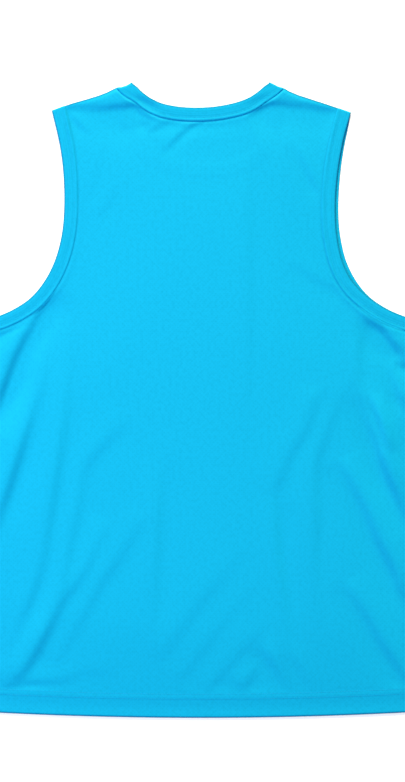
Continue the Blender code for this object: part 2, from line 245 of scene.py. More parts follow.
def tree_of(points):
    """A k-d tree of flat points."""
    tree = KDTree(len(points))
    for index, (x, y) in enumerate(points):
        tree.insert((x, y, 0.0), index)
    tree.balance()
    return tree


class Track:
    """A curve read at short even steps."""

    def __init__(self, curve, step=1.0):
        self.curve = evenly(np.asarray(curve, dtype=float), step)
        self.along = directions(self.curve)
        self.reach = reach_along(self.curve)
        self.step = self.reach[1]
        self.tree = tree_of(self.curve[:, :2])

    def beside(self, x, y):
        """Distance to the left of the curve, and the distance along it, for each point."""
        nearest = np.array([self.tree.find((a, b, 0.0))[1] for a, b in zip(x, y)], dtype=int)
        offset = np.column_stack((x, y)) - self.curve[nearest, :2]
        along = self.along[nearest]
        across = along[:, 0] * offset[:, 1] - along[:, 1] * offset[:, 0]
        ahead = np.sum(along * offset, axis=1)
        past = np.maximum(np.abs(ahead) - self.step, 0.0)
        return np.where(across < 0, -1.0, 1.0) * np.hypot(across, past), self.reach[nearest] + ahead


HEM_POINTS = 80
hem_x = np.linspace(-HEM_HALF_WIDTH, HEM_HALF_WIDTH, HEM_POINTS)
hem_track = Track(np.column_stack((hem_x, hem_y(hem_x))))
print("the origin lies", round(float(hem_track.beside([0.0], [0.0])[0][0]), 1), "mm above the hem")

# %% [markdown]
# ## How the top edge settled
#
# The shoulders aren't straight when a garment is laid down. Each sags between its neckband and its tip,
# with a small step where the thick seam of the neckband crosses the fold, and the neck lies a little
# higher on its right. All pieces must follow that together, so one function moves every point before a
# mesh is made.

# %% Settled outline


class Settled(NamedTuple):
    """How far the top edge lies to the right and down from the cut, at a distance across."""
    x: float
    right: float
    down: float


TOP_EDGE = (
    Settled(-170, 0.0, 0.7), Settled(-155, 0.0, 0.4), Settled(-143, 0.0, 0.7), Settled(-129, 0.0, 1.8),
    Settled(-114, 0.0, 2.5), Settled(-105, 0.0, 2.2), Settled(-98, 0.0, 1.1), Settled(-95, 0.2, 0.6),
    Settled(-90, 1.0, 1.9), Settled(-85, 2.2, 1.7), Settled(-80, 2.8, 0.0), Settled(-74, 2.8, -0.5),
    Settled(-68, 1.2, -0.2), Settled(-57, 0.0, 0.4), Settled(-45, 0.0, 0.8), Settled(-30, 0.0, 0.0),
    Settled(-11, 0.0, -0.4), Settled(0, 0.0, -0.5), Settled(23, 0.0, -1.3), Settled(34, 0.0, -1.3),
    Settled(45, 0.0, -0.9), Settled(57, -0.4, -0.2), Settled(68, -1.5, -0.2), Settled(75, -2.2, -0.5),
    Settled(80, -1.5, -0.2), Settled(84, -1.2, 0.5), Settled(89, -0.8, 1.5), Settled(93, -0.4, 1.4),
    Settled(96, -0.2, 0.9), Settled(100, 0.0, 2.4), Settled(111, 0.0, 3.2), Settled(127, 0.0, 2.7),
    Settled(141, 0.0, 2.2), Settled(155, 0.0, 1.9), Settled(170, 0.0, 1.8),
)
SETTLED_FROM_Y = 290.0
SETTLED_FULLY = 30.0        # above that line the shift grows to its full size over this distance


def settled(points):
    """The points, moved as the top edge of the garment lies."""
    moved = np.array(points, dtype=float)
    share = grows(moved[..., 1], SETTLED_FROM_Y, SETTLED_FULLY)
    x, right, down = np.array(TOP_EDGE).T
    across = moved[..., 0].copy()
    moved[..., 0] += share * np.interp(across, x, right)
    moved[..., 1] -= share * np.interp(across, x, down)
    return moved


print("a point on the right shoulder moves to", [round(float(v), 1) for v in settled((111.0, 347.0))])

# %% [markdown]
# ## Creases, placed one by one
#
# Cloth that is laid down and patted flat keeps drag lines. They start under the arms and run down to the
# sides, and a few cross the lower middle. On each one the cloth drops over a short flank, from a soft
# crest on its side to the neck to a shallow dip below, and both fade out over a longer way. So a crease
# is a path whose keys say how deep the drop is there, and the same few numbers shape all of them. No two
# have the same length, depth or spacing.

# %% Creases on the left


class Drop(NamedTuple):
    """A place on a crease's path, and the height that the cloth drops across it there."""
    x: float
    y: float
    drop: float


class Crease(NamedTuple):
    """The flank's width, the share of the drop that is crest, the path, and how many widths it fades over."""
    width: float
    crest: float
    path: tuple
    fade: float = 2.6


LEFT_CREASES = (
    Crease(8.0, 0.42, (
        Drop(-163, 129, 0.0), Drop(-170, 118, 1.6), Drop(-177, 106, 3.6), Drop(-185, 93, 4.6),
        Drop(-199, 68, 5.0), Drop(-210, 45, 5.6), Drop(-220, 17, 6.6), Drop(-231, -12, 4.0),
        Drop(-240, -36, 0.0),
    )),
    Crease(4.5, 0.20, (
        Drop(-252, 68, 0.8), Drop(-232, 73, 1.3), Drop(-216, 79, 1.1), Drop(-204, 86, 0.6),
        Drop(-193, 96, 0.0),
    )),
    Crease(7.5, 0.70, (
        Drop(-169, 80, 0.0), Drop(-173, 50, 0.9), Drop(-178, 17, 1.2), Drop(-186, -5, 1.7),
        Drop(-197, -41, 3.2), Drop(-207, -73, 4.0), Drop(-219, -110, 3.8), Drop(-231, -148, 1.4),
        Drop(-240, -175, 0.0),
    )),
    Crease(7.5, 0.55, (
        Drop(-143, 105, 0.0), Drop(-146, 49, 0.5), Drop(-151, -17, 1.5), Drop(-160, -80, 2.4),
        Drop(-168, -130, 2.4), Drop(-177, -184, 1.8), Drop(-191, -227, 1.9), Drop(-203, -255, 1.2),
        Drop(-218, -295, 0.0),
    )),
    Crease(8.0, 0.55, (
        Drop(-78, -20, 0.0), Drop(-91, -34, 0.5), Drop(-113, -57, 0.9), Drop(-130, -82, 1.1),
        Drop(-137, -125, 1.6), Drop(-145, -161, 1.7), Drop(-151, -193, 1.6), Drop(-162, -245, 0.0),
    )),
    Crease(8.0, 0.72, (
        Drop(-103, -139, 0.2), Drop(-111, -155, 0.7), Drop(-132, -198, 1.4), Drop(-155, -229, 2.0),
        Drop(-173, -264, 3.2), Drop(-192, -298, 2.9), Drop(-208, -318, 1.8), Drop(-221, -331, 0.0),
    )),
    Crease(8.5, 0.65, (
        Drop(-60, -130, 0.1), Drop(-69, -144, 0.6), Drop(-93, -183, 1.1), Drop(-112, -211, 1.2),
        Drop(-132, -247, 1.0), Drop(-155, -288, 0.6), Drop(-163, -302, 0.0),
    )),
    Crease(6.0, 0.55, (
        Drop(-208, -324, 0.5), Drop(-194, -322, 1.2), Drop(-157, -319, 0.5), Drop(-134, -310, 0.3),
        Drop(-108, -310, 0.25), Drop(-92, -304, 0.0),
    )),
)
print("creases on the left:", len(LEFT_CREASES))

# %% Creases on the right
RIGHT_CREASES = (
    Crease(8.0, 0.40, (
        Drop(178, 98, 0.0), Drop(187, 91, 0.8), Drop(197, 86, 2.8), Drop(208, 77, 4.4), Drop(219, 62, 4.2),
        Drop(230, 50, 2.9), Drop(241, 36, 1.8), Drop(250, 24, 0.0),
    )),
    Crease(3.5, 0.50, (Drop(218, 44, 0.0), Drop(226, 41, 0.9), Drop(240, 37, 1.5), Drop(252, 31, 0.0))),
    Crease(8.0, 0.62, (
        Drop(137, 14, 0.1), Drop(132, -2, 1.1), Drop(121, -34, 1.2), Drop(104, -62, 1.1),
        Drop(92, -91, 0.9), Drop(84, -112, 0.0),
    )),
    Crease(7.5, 0.60, (
        Drop(164, 8, 0.1), Drop(155, -11, 0.7), Drop(142, -45, 1.2), Drop(133, -74, 1.5),
        Drop(132, -102, 1.6), Drop(134, -130, 1.6), Drop(132, -167, 1.2), Drop(134, -205, 0.7),
        Drop(138, -260, 0.0),
    )),
    Crease(6.0, 0.45, (
        Drop(82, -90, 0.0), Drop(87, -130, 1.2), Drop(90, -170, 1.6), Drop(95, -207, 1.3),
        Drop(98, -240, 0.8), Drop(101, -290, 0.0),
    )),
    Crease(6.0, 0.45, (
        Drop(180, 100, 0.0), Drop(182, 60, 1.1), Drop(182, 26, 0.9), Drop(186, 0, 0.6), Drop(192, -30, 0.0),
    )),
    Crease(7.5, 0.60, (
        Drop(180, 22, 0.0), Drop(188, -17, 2.5), Drop(201, -53, 4.4), Drop(212, -85, 5.2),
        Drop(222, -108, 3.9), Drop(235, -135, 1.8), Drop(243, -150, 0.0),
    )),
    Crease(7.5, 0.62, (
        Drop(157, -69, 0.3), Drop(165, -83, 1.4), Drop(185, -120, 2.7), Drop(202, -160, 3.4),
        Drop(219, -194, 3.3), Drop(226, -213, 2.5), Drop(239, -236, 0.8), Drop(246, -251, 0.0),
    )),
    Crease(7.5, 0.62, (
        Drop(163, -206, 0.1), Drop(170, -218, 1.0), Drop(189, -246, 1.8), Drop(207, -278, 2.3),
        Drop(224, -303, 2.0), Drop(231, -314, 1.7), Drop(243, -330, 0.0),
    )),
    Crease(4.5, 0.55, (
        Drop(191, 8, 0.0), Drop(198, -11, 2.6), Drop(204, -28, 3.4), Drop(209, -45, 2.6),
        Drop(215, -62, 0.0),
    )),
    Crease(5.0, 0.55, (
        Drop(210, 46, 0.0), Drop(215, 34, 0.9), Drop(222, 15, 1.5), Drop(228, 0, 2.1), Drop(236, -18, 0.0),
    )),
)
print("creases on the right:", len(RIGHT_CREASES))

# %% Creases in the middle
MIDDLE_CREASES = (
    Crease(10.0, 0.60, (
        Drop(54, -163, 0.0), Drop(44, -179, 0.25), Drop(22, -206, 0.55), Drop(2, -230, 0.8),
        Drop(-18, -258, 0.8), Drop(-38, -286, 0.6), Drop(-48, -300, 0.0),
    )),
    Crease(8.0, 0.50, (
        Drop(80, -196, 0.0), Drop(70, -206, 0.1), Drop(46, -231, 0.25), Drop(22, -259, 0.45),
        Drop(3, -286, 0.65), Drop(-17, -313, 0.5), Drop(-25, -323, 0.0),
    )),
    Crease(7.0, 0.45, (
        Drop(66, -264, 0.1), Drop(60, -272, 0.4), Drop(38, -297, 0.65), Drop(17, -322, 0.65),
        Drop(8, -332, 0.0),
    )),
    Crease(7.0, 0.50, (
        Drop(68, -281, 0.1), Drop(74, -289, 0.65), Drop(85, -308, 0.45), Drop(98, -326, 0.35),
        Drop(104, -333, 0.0),
    )),
    Crease(7.0, 0.60, (
        Drop(70, -293, 0.0), Drop(66, -302, 0.45), Drop(60, -312, 1.0), Drop(54, -322, 1.1),
        Drop(49, -330, 0.2),
    )),
    Crease(7.0, 0.60, (
        Drop(64, -272, 0.0), Drop(71, -282, 0.5), Drop(80, -297, 0.8), Drop(88, -311, 0.4),
        Drop(95, -321, 0.0),
    )),
    Crease(6.0, 0.50, (
        Drop(100, -282, 0.0), Drop(107, -294, 0.5), Drop(114, -307, 0.6), Drop(120, -319, 0.5),
        Drop(126, -330, 0.0),
    )),
    Crease(7.0, 0.50, (
        Drop(-44, -60, 0.0), Drop(-45, -114, 1.0), Drop(-47, -170, 1.4), Drop(-49, -227, 0.8),
        Drop(-51, -275, 0.0),
    )),
)
print("creases in the middle:", len(MIDDLE_CREASES))

# %% Creases of the upper back
TOP_CREASES = (
    Crease(8.0, 0.30, (
        Drop(-163, 331.5, 0.5), Drop(-145, 332.3, 1.6), Drop(-126, 333.3, 2.2), Drop(-108, 333.3, 2.9),
        Drop(-93, 332.8, 3.6), Drop(-80, 334.0, 3.3), Drop(-70, 335, 1.9), Drop(-58, 338, 0.0),
    ), 4.5),
    Crease(5.0, 0.50, (
        Drop(-84, 331, 0.0), Drop(-76, 328, 0.7), Drop(-66, 324, 0.9), Drop(-55, 320, 0.7),
        Drop(-42, 315, 0.0),
    )),
    Crease(7.5, 0.30, (
        Drop(54, 324, 0.5), Drop(64, 329, 1.9), Drop(74, 333, 2.9), Drop(91, 337, 2.9),
        Drop(116, 336.5, 2.6), Drop(132, 333.5, 2.6), Drop(144, 331.2, 2.3), Drop(156, 329, 0.7),
    ), 4.5),
    Crease(2.8, 0.45, (
        Drop(3, 315, 0.5), Drop(-9, 310.5, 1.0), Drop(-23, 300, 1.2), Drop(-34, 288.5, 0.75),
        Drop(-43, 281, 0.2), Drop(-50, 274, 0.0),
    )),
    Crease(3.0, 0.45, (Drop(-30, 319, 0.1), Drop(-38, 315, 0.6), Drop(-52, 308, 0.7), Drop(-62, 302, 0.0))),
    Crease(2.6, 0.50, (
        Drop(-92, 309, 0.0), Drop(-86, 311, 0.8), Drop(-78, 315, 1.0), Drop(-64, 313, 0.8),
        Drop(-56, 312, 0.0),
    )),
    Crease(3.2, 0.60, (
        Drop(-149, 326, 0.1), Drop(-145, 321, 0.7), Drop(-134, 310, 0.8), Drop(-126, 301, 0.0),
    )),
    Crease(4.5, 0.50, (
        Drop(-108, 292, 0.0), Drop(-112, 278, 0.2), Drop(-123, 238, 0.3), Drop(-128, 222, 0.0),
    )),
    Crease(4.5, 0.50, (
        Drop(-92, 246, 0.0), Drop(-97, 236, 0.25), Drop(-108, 216, 0.4), Drop(-116, 203, 0.0),
    )),
    Crease(4.0, 0.50, (
        Drop(110, 290, 0.0), Drop(113, 278, 0.55), Drop(120, 263, 0.8), Drop(130, 242, 0.9),
        Drop(136, 230, 0.0),
    )),
    Crease(6.0, 0.50, (
        Drop(99, 156, 0.0), Drop(109, 151, 0.3), Drop(129, 138, 0.5), Drop(152, 126, 0.6),
        Drop(163, 121, 0.0),
    )),
    Crease(6.0, 0.50, (
        Drop(56, 290, 0.0), Drop(57, 215, 0.6), Drop(58, 120, 0.7), Drop(57, 30, 0.5), Drop(56, -40, 0.0),
    )),
)
BACK_CREASES = LEFT_CREASES + RIGHT_CREASES + MIDDLE_CREASES + TOP_CREASES
deepest = [max(place.drop for place in crease.path) for crease in BACK_CREASES]
print(len(BACK_CREASES), "creases on the back, with drops from", min(deepest), "to", max(deepest), "mm")

# %% Relief of the creases
CREST_FACES = unit((-0.18, 1.0))
CREST_OFFSET = 0.7          # the crest lies this many widths from the middle of the flank
BUMP_REACH = 2.2            # a crest or a dip has faded out this many widths away
CREASE_STEP = 2.0


def crest_on_right(curve):
    """Whether a path's right-hand side faces the neck, or the left where the path runs straight down."""
    run = curve[-1, :2] - curve[0, :2]
    return np.dot((run[1], -run[0]), CREST_FACES) > 0


def crease_relief(x, y, creases):
    """Heights of the crests and depths of the dips that the creases make at each point."""
    crests, dips = np.zeros(len(x)), np.zeros(len(x))
    for crease in creases:
        curve = through(crease.path)
        track = Track(curve, CREASE_STEP)
        margin = crease.width * (CREST_OFFSET + BUMP_REACH * crease.fade)
        low, high = curve[:, :2].min(axis=0) - margin, curve[:, :2].max(axis=0) + margin
        near = np.flatnonzero((x > low[0]) & (x < high[0]) & (y > low[1]) & (y < high[1]))
        if len(near) == 0:
            continue
        side, reach = track.beside(x[near], y[near])
        if crest_on_right(curve):
            side = -side
        drop = np.interp(reach, track.reach, track.curve[:, 2], left=0.0, right=0.0)
        steep = crease.width
        gentle = crease.width * crease.fade
        to_crest = side - CREST_OFFSET * steep
        to_dip = side + CREST_OFFSET * steep
        crest = bump(to_crest, np.where(to_crest < 0, steep, gentle))
        dip = bump(to_dip, np.where(to_dip > 0, steep, gentle))
        crests[near] += drop * crease.crest * crest
        dips[near] += drop * (1.0 - crease.crest) * dip
    return crests, dips


crest, dip = (float(part[0]) for part in crease_relief(np.array([-190.0]), np.array([86.0]), BACK_CREASES))
print("beside the left arm's crease the cloth rises", round(crest, 2), "and sinks", round(dip, 2), "mm")

# %% [markdown]
# ## A panel as a thin closed wall
#
# A panel has a curved outline, so a plain grid would leave ragged edges. Here the points are placed in
# rows that follow each edge, close together where a seam rolls, and on a staggered lattice everywhere
# else. A constrained Delaunay triangulation joins them inside the outline. Each point then gets two
# heights, for the upper and the lower face of the cloth.

# %% Outline of a panel
EDGE_STEP = 2.8
TUCK = 0.9                  # the back runs this far under its bands
FOLD_OUT = 1.3              # a panel reaches this far past the fold lines at the sides and shoulders


class Edge(NamedTuple):
    """One stretch of a panel's outline, clockwise, with the cloth on its right-hand side."""
    kind: str
    curve: np.ndarray


def panel_edges(neck, right_keys, left_keys, tuck):
    """The outline's stretches, and the lines where the panel meets its bands."""
    reach = BAND_WIDTH + SEAM_GAP
    neck_free = neck_edge(neck, EDGE_STEP)
    right_free = armhole_edge(right_keys, 1, EDGE_STEP)
    left_free = armhole_edge(left_keys, -1, EDGE_STEP)
    lines = [
        (neck_free, neck_inward(neck_free)),
        (right_free, armhole_inward(right_free, 1)),
        (left_free[::-1], armhole_inward(left_free, -1)[::-1]),
    ]
    neck_cut, right_cut, left_cut = (free + into * (reach - tuck) for free, into in lines)
    seams = [free + into * reach for free, into in lines]

    def to_fold(point, line, side):
        """The point, moved out past a fold line."""
        return point + mirrored(outward(line), side) * FOLD_OUT

    def straight(start, end):
        """Even steps between two points, without the points themselves."""
        return evenly(np.array((start, end)), EDGE_STEP)[1:-1]

    hem = evenly(np.column_stack((hem_x, hem_y(hem_x)))[::-1], EDGE_STEP)
    right_top = to_fold(neck_cut[-1], SHOULDER_LINE, 1)
    right_tip = to_fold(right_cut[0], SHOULDER_LINE, 1)
    left_top = to_fold(neck_cut[0], SHOULDER_LINE, -1)
    left_tip = to_fold(left_cut[-1], SHOULDER_LINE, -1)
    right_pit = to_fold(right_cut[-1], SIDE_LINE, 1)
    left_pit = to_fold(left_cut[0], SIDE_LINE, -1)
    edges = [
        Edge("seam", neck_cut),
        Edge("fold", np.vstack((right_top, straight(right_top, right_tip), right_tip))),
        Edge("seam", right_cut),
        Edge("fold", np.vstack((right_pit, straight(right_pit, hem[0])))),
        Edge("hem", hem),
        Edge("fold", np.vstack((straight(hem[-1], left_pit), left_pit))),
        Edge("seam", left_cut),
        Edge("fold", np.vstack((left_tip, straight(left_tip, left_top), left_top))),
    ]
    return edges, seams


back_edges, back_seams = panel_edges(BACK_NECK, RIGHT_BACK_ARMHOLE, LEFT_ARMHOLE, TUCK)
print("the back's outline:", [(edge.kind, len(edge.curve)) for edge in back_edges])

# %% Points and triangles of a panel
LATTICE_STEP = 3.4
SEAM_ROWS = (0.5, 0.9, 1.4, 2.0, 2.7, 3.5, 4.4, 5.5, 7.0, 9.0)
FOLD_ROWS = (0.3, 0.7, 1.2, 1.8, 2.5, 3.4, 4.6, 6.5)
HEM_ROWS = (0.25, 0.6, 1.1, 1.8, 3.0, 5.0, 7.5, 10.0, 12.5, 14.2, 15.2, 16.4, 17.6, 18.6, 19.4, 20.0, 20.5,
            21.0, 21.6, 22.4, 23.4, 24.6, 25.8, 26.6, 27.2, 28.0, 29.4, 31.5)
OUTLINE_STEP = 0.5
ROW_CLEARANCE = 0.96        # a row's point is dropped where an edge is nearer than this share of its distance
LATTICE_CLEARANCE = 0.7     # the lattice keeps this share of its step from the rows
SAME_POINT = 1e-4
NO_AREA = 1e-9


def edge_rows(edges):
    """Rows of points at set distances inside every edge."""
    rows = []
    for edge in edges:
        along = directions(edge.curve)
        into = np.column_stack((along[:, 1], -along[:, 0]))
        wanted = {"seam": SEAM_ROWS, "fold": FOLD_ROWS, "hem": HEM_ROWS}[edge.kind]
        rows += [(distance, edge.curve + into * distance) for distance in wanted]
    return rows


def lattice(step):
    """Staggered rows of points over the whole garment."""
    points = []
    for row, y in enumerate(np.arange(HEM_MID_Y, SHOULDER_NECK[1], step * math.sqrt(0.75))):
        x = np.arange(-HEM_HALF_WIDTH, HEM_HALF_WIDTH, step) + (step / 2 if row % 2 else 0.0)
        points.append(np.column_stack((x, np.full(len(x), y))))
    return np.vstack(points)


def far_from(points, tree, distance):
    """The points that lie at least so far from all of the tree's."""
    return points[[tree.find((x, y, 0.0))[2] >= distance for x, y in points]]


def panel_plan(edges, step):
    """Points and triangles of the flat panel."""
    outline = np.vstack([edge.curve for edge in edges])
    fine = tree_of(evenly(np.vstack((outline, outline[:1])), OUTLINE_STEP))
    rows = [far_from(points, fine, ROW_CLEARANCE * distance) for distance, points in edge_rows(edges)]
    kept = np.vstack([outline] + rows)
    inner = far_from(lattice(step), tree_of(kept), LATTICE_CLEARANCE * step)
    points = np.vstack((kept, inner))
    count = len(outline)
    border = [(index, (index + 1) % count) for index in range(count)]
    joined = delaunay_2d_cdt([Vector(point) for point in points], border, [list(range(count))], 1, SAME_POINT)
    flat = np.array([tuple(point) for point in joined[0]])
    faces = np.array(joined[2])
    used = np.unique(faces)
    renumber = np.full(len(flat), -1)
    renumber[used] = np.arange(len(used))
    return flat[used], turned_up(flat[used], renumber[faces])


def twice_area(flat, faces):
    """Twice the area of each triangle, and less than nothing where its corners run clockwise."""
    a, b, c = (flat[faces[:, corner]] for corner in range(3))
    return (b[:, 0] - a[:, 0]) * (c[:, 1] - a[:, 1]) - (b[:, 1] - a[:, 1]) * (c[:, 0] - a[:, 0])


def turned_up(flat, faces):
    """The triangles with their corners counter-clockwise, seen from above."""
    area = twice_area(flat, faces)
    faces, area = faces[np.abs(area) > NO_AREA], area[np.abs(area) > NO_AREA]
    faces[area < 0] = faces[area < 0][:, ::-1]
    return faces


back_plan = panel_plan(back_edges, LATTICE_STEP)
print("back panel:", len(back_plan[0]), "points,", len(back_plan[1]), "triangles on a face")

# %% From heights to a mesh


def new_object(name, data):
    """An object in the scene, at the origin."""
    obj = bpy.data.objects.new(name, data)
    bpy.context.scene.collection.objects.link(obj)
    return obj


def rim_of(faces):
    """Edges that only one triangle has."""
    edges = {}
    for a, b, c in faces.tolist():
        edges[(a, b)] = edges[(b, c)] = edges[(c, a)] = True
    return [(a, b) for a, b in edges if (b, a) not in edges]


def set_painted_shade(data, values):
    """Stores at each point how much painted shade the materials mix in, at edges, ditches and turns."""
    rim = data.attributes.new("rim", "FLOAT", "POINT")
    rim.data.foreach_set("value", np.asarray(values, dtype=np.float32))


def cloth_wall(name, plan, lower, upper, rim):
    """A closed wall between the two heights at each point, with a flat layout in metres as its UV map."""
    flat, faces = plan
    count = len(flat)
    top = settled(np.column_stack((flat, upper))) * MM
    bottom = settled(np.column_stack((flat, lower))) * MM
    walls = [(a, a + count, b + count, b) for a, b in rim_of(faces)]
    data = bpy.data.meshes.new(name)
    data.from_pydata(np.vstack((top, bottom)).tolist(), [],
                     faces.tolist() + (faces[:, ::-1] + count).tolist() + walls)
    data.shade_smooth()
    corners = np.empty(len(data.loops), dtype=np.int32)
    data.loops.foreach_get("vertex_index", corners)
    layout = data.uv_layers.new(name="cloth")
    layout.data.foreach_set("uv", (flat[corners % count] * MM).astype(np.float32).ravel())
    # rim holds the painted shade, the same on both faces
    set_painted_shade(data, np.tile(rim, 2))
    return new_object(name, data)


rim_edges = rim_of(back_plan[1])
print("the back's wall:", 2 * len(back_plan[0]), "points, and", len(rim_edges), "edges along its rim")

# %% [markdown]
# ## The back
#
# The back lies on the front, so its upper face is about three layers up, a little higher in the middle
# where air stays between the layers. It rounds down to the fold at the sides and shoulders. Where it
# meets a band it dips and runs under it, as the seam allowance pulls it there. Along the bottom it is
# turned up and sewn: the doubled cloth stands a little higher, and the needle line draws it in. Above
# the front's neck hole nothing carries it, so it sags.

# %% Rounding and walls
CLOTH = 0.45
HEM_DOUBLE = 0.45           # the hem's second layer
HEM_DOUBLE_ENDS = (24.0, 4.0)       # it ends so far above the edge, and thins out over this distance
FOLD_Z = 1.65               # the two layers meet at this height at the sides and shoulders
FOLD_ROUND = 0.9            # the faces round down to the fold over this distance
FOLD_HALF_GAP = 0.02
RIM_HALF = 0.15
RIM_FULL = 0.7              # painted shade darkens the outermost cloth, fully over this distance,
RIM_FADE = 0.9              # and less over this one
HEM_RIM = 0.75              # at the hem, distances count this much


def inside_of(lines, x, y):
    """Distance inside each of several lines that have the cloth on their right."""
    return np.array([-Track(line).beside(x, y)[0] for line in lines])


def inside_folds(edges, x, y):
    """Distance inside each fold of a panel's outline."""
    return inside_of([edge.curve for edge in edges if edge.kind == "fold"], x, y)


def soft_nearest(distances, softness):
    """The least of several distances, without a sharp bend where two are equal."""
    return -softness * np.log(np.exp(-np.array(distances) / softness).sum(axis=0))


def soft_least(value, least, softness=0.25):
    """The value, kept above the least one without a sharp bend."""
    return least + softness * np.logaddexp(0.0, (value - least) / softness)


def rounded(distance, radius):
    """Share of the full height at a distance inside a rounded edge."""
    share = np.clip(distance / radius, 0.0, 1.0)
    return np.sqrt(1.0 - (1.0 - share) ** 2)


def wall_at(above_hem):
    """Thickness of the cloth, which is double in the hem."""
    return CLOTH + HEM_DOUBLE * ends(above_hem, *HEM_DOUBLE_ENDS)


def nosed(lower, upper, above_hem, radius):
    """Both faces, rounded towards each other at the hem's edge."""
    middle = (lower + upper) / 2
    nose = rounded(above_hem, radius)
    return middle + (lower - middle) * nose, middle + (upper - middle) * nose


def painted_edge_shade(from_fold, above_hem):
    """Painted shade: 1 on the outermost millimetre at the folds and the hem, and 0 on the rest."""
    return 1.0 - grows(np.minimum(from_fold, HEM_RIM * above_hem), RIM_FULL, RIM_FADE)


print("the cloth is", wall_at(100.0), "mm thick, and", wall_at(10.0), "mm in the hem")

# %% Form of the hem and of the seams
HEM_DEPTH = 21.3
TURN_UP = 27.0              # this much cloth is turned up, and the second needle line holds its edge
PUCKER = 0.03               # small puckers above and below the first needle line
PUCKER_WAVE = 8.3
PUCKER_DRIFT = (1.7, 31.0)          # the puckers come closer and farther apart by this much, over this length
PUCKERS = ((18.0, 1.2), (15.0, 1.4))        # height above the edge and width of two rows that take turns
SEAM_ROLL = (0.05, 0.06, 0.05)      # everywhere, more beside the neck, and more at the underarms
ROLL_AT = 2.9
ROLL_WIDTH = 1.4
SEAM_RAISED = (0.14, 0.22)          # everywhere, and more at the underarms
RAISED_ENDS = (8.0, 5.0)
STANDS_OUT = 0.7            # below the right armhole the cloth stands out this much more
STANDS_FROM = (176.0, 14.0)
STANDS_UP_TO = (236.0, 18.0)
STANDS_ENDS = (12.0, 9.0)
SEAM_DIP = 0.13
DIP_LESS_AT_SIDE = 0.5
DIP_MORE_AT_NECK = 0.9
DIP_AT = 0.4
DIP_WIDTH = 1.0
TUCKED = 0.1                # the tucked edge, held inside the band, lies this much lower
TUCKED_FROM = (0.3, 0.6)
BESIDE_NECK = ((40.0, 25.0), (300.0, 12.0))         # from here on across and up, and over how far it comes in
UNDERARM_ENDS = (175.0, 60.0)
SIDE_FROM = (175.0, 60.0)
SIDE_ENDS = (310.0, 20.0)


class Hem(NamedTuple):
    """Height that the sewn hem adds, at a distance above its edge."""
    above: float
    rise: float


HEM_PROFILE = through((
    Hem(0.0, -0.26), Hem(3.0, -0.28), Hem(7.0, -0.36), Hem(11.0, -0.38), Hem(15.0, -0.29), Hem(18.0, -0.19),
    Hem(20.0, -0.13), Hem(22.0, -0.01), Hem(23.4, 0.05), Hem(25.0, 0.04), Hem(26.8, -0.02), Hem(28.5, -0.04),
    Hem(31.0, 0.0), Hem(34.0, 0.0),
))


def hem_form(above, x):
    """Height that the hem adds, with small puckers that come and go along it."""
    drift, length = PUCKER_DRIFT
    draw = 0.5 + 0.5 * np.sin(x / PUCKER_WAVE + drift * np.sin(x / length))
    (upper, upper_width), (lower, lower_width) = PUCKERS
    puckers = PUCKER * draw * bump(above - upper, upper_width)
    puckers = puckers + PUCKER * (1.0 - draw) * bump(above - lower, lower_width)
    return np.interp(above, *HEM_PROFILE.T) - puckers


def seam_form(inside, x, y):
    """Height of the rolled seam beside the bands, from the distance inside the seam line."""
    at_neck = grows(np.abs(x), *BESIDE_NECK[0]) * grows(y, *BESIDE_NECK[1])
    at_underarm = ends(y, *UNDERARM_ENDS)
    at_side = grows(y, *SIDE_FROM) * ends(y, *SIDE_ENDS)
    anywhere, by_neck, by_underarm = SEAM_ROLL
    roll = (anywhere + by_neck * at_neck + by_underarm * at_underarm) * bump(inside - ROLL_AT, ROLL_WIDTH)
    raised = (SEAM_RAISED[0] + SEAM_RAISED[1] * at_underarm) * ends(inside, *RAISED_ENDS)
    raised += STANDS_OUT * grows(x, *STANDS_FROM) * ends(x, *STANDS_UP_TO) * ends(inside, *STANDS_ENDS)
    dip = SEAM_DIP * (1.0 - DIP_LESS_AT_SIDE * at_side + DIP_MORE_AT_NECK * at_neck)
    return roll + raised - dip * bump(inside - DIP_AT, DIP_WIDTH) - TUCKED * grows(-inside, *TUCKED_FROM)


print("over its needle line the hem lies at", round(float(hem_form(HEM_DEPTH, 0.0)), 2), "mm")

# %% Upper and lower face of the back
FACE_Z = 2.7                # upper face of the back near its edges
LOFT = 2.0
LOFT_FADE = 110.0
LOFT_SOFTNESS = 22.0
HEM_ROUND = 2.6
HEM_FLAT = 0.3              # towards the hem the layers are pressed flatter by this much
HEM_FLAT_FADE = 45.0
HEM_CALM = (26.0, 9.0)              # above the hem the creases come in from here on, over this distance
SHOULDER_FLAT = 0.5         # towards the shoulders the layers are pressed flatter by this much
SHOULDER_FLAT_FADE = 20.0
AT_SHOULDER = (295.0, 15.0)
CREST_ROOM = (12.0, 12.0)           # distances from a seam and a fold over which the crests come in,
SHOULDER_CREST_ROOM = (2.0, 5.0)    # the same at the shoulders,
DIP_ROOM = (2.5, 5.0)               # and the same for the dips
NECK_SAG = 0.12
NECK_SAG_FADE = 70.0
BAND_SAG = 0.6              # between the shoulders the neckband, and the back beside it, sink this far
BAND_SAG_EASE = 1.3
SAG_FADE = 50.0
BAND_SHOWS = 0.15           # the front's neckband lifts the back by this much,
BAND_SOFT = 3.0             # softly over this distance at both of its edges
LEAST_Z = 0.95              # the upper face stays above the front's cloth,
BAND_LEAST = 0.45           # and this much higher over the front's neckband
PAINTED_DITCH_SHADE = 0.25          # painted shade in the ditch beside a band, this share of the painted shade at an edge
DITCH_AT = 0.5
DITCH_WIDTH = 0.9
TABLE_GAP = 0.03
LEAST_WALL = 0.2
front_neck_track = Track(neck_edge(FRONT_NECK, 1.0))


def band_sag(x):
    """How far the neckband sinks between the shoulders."""
    return BAND_SAG * ramp(BAND_SAG_EASE * (1.0 - np.abs(x) / SHOULDER_NECK[0]))


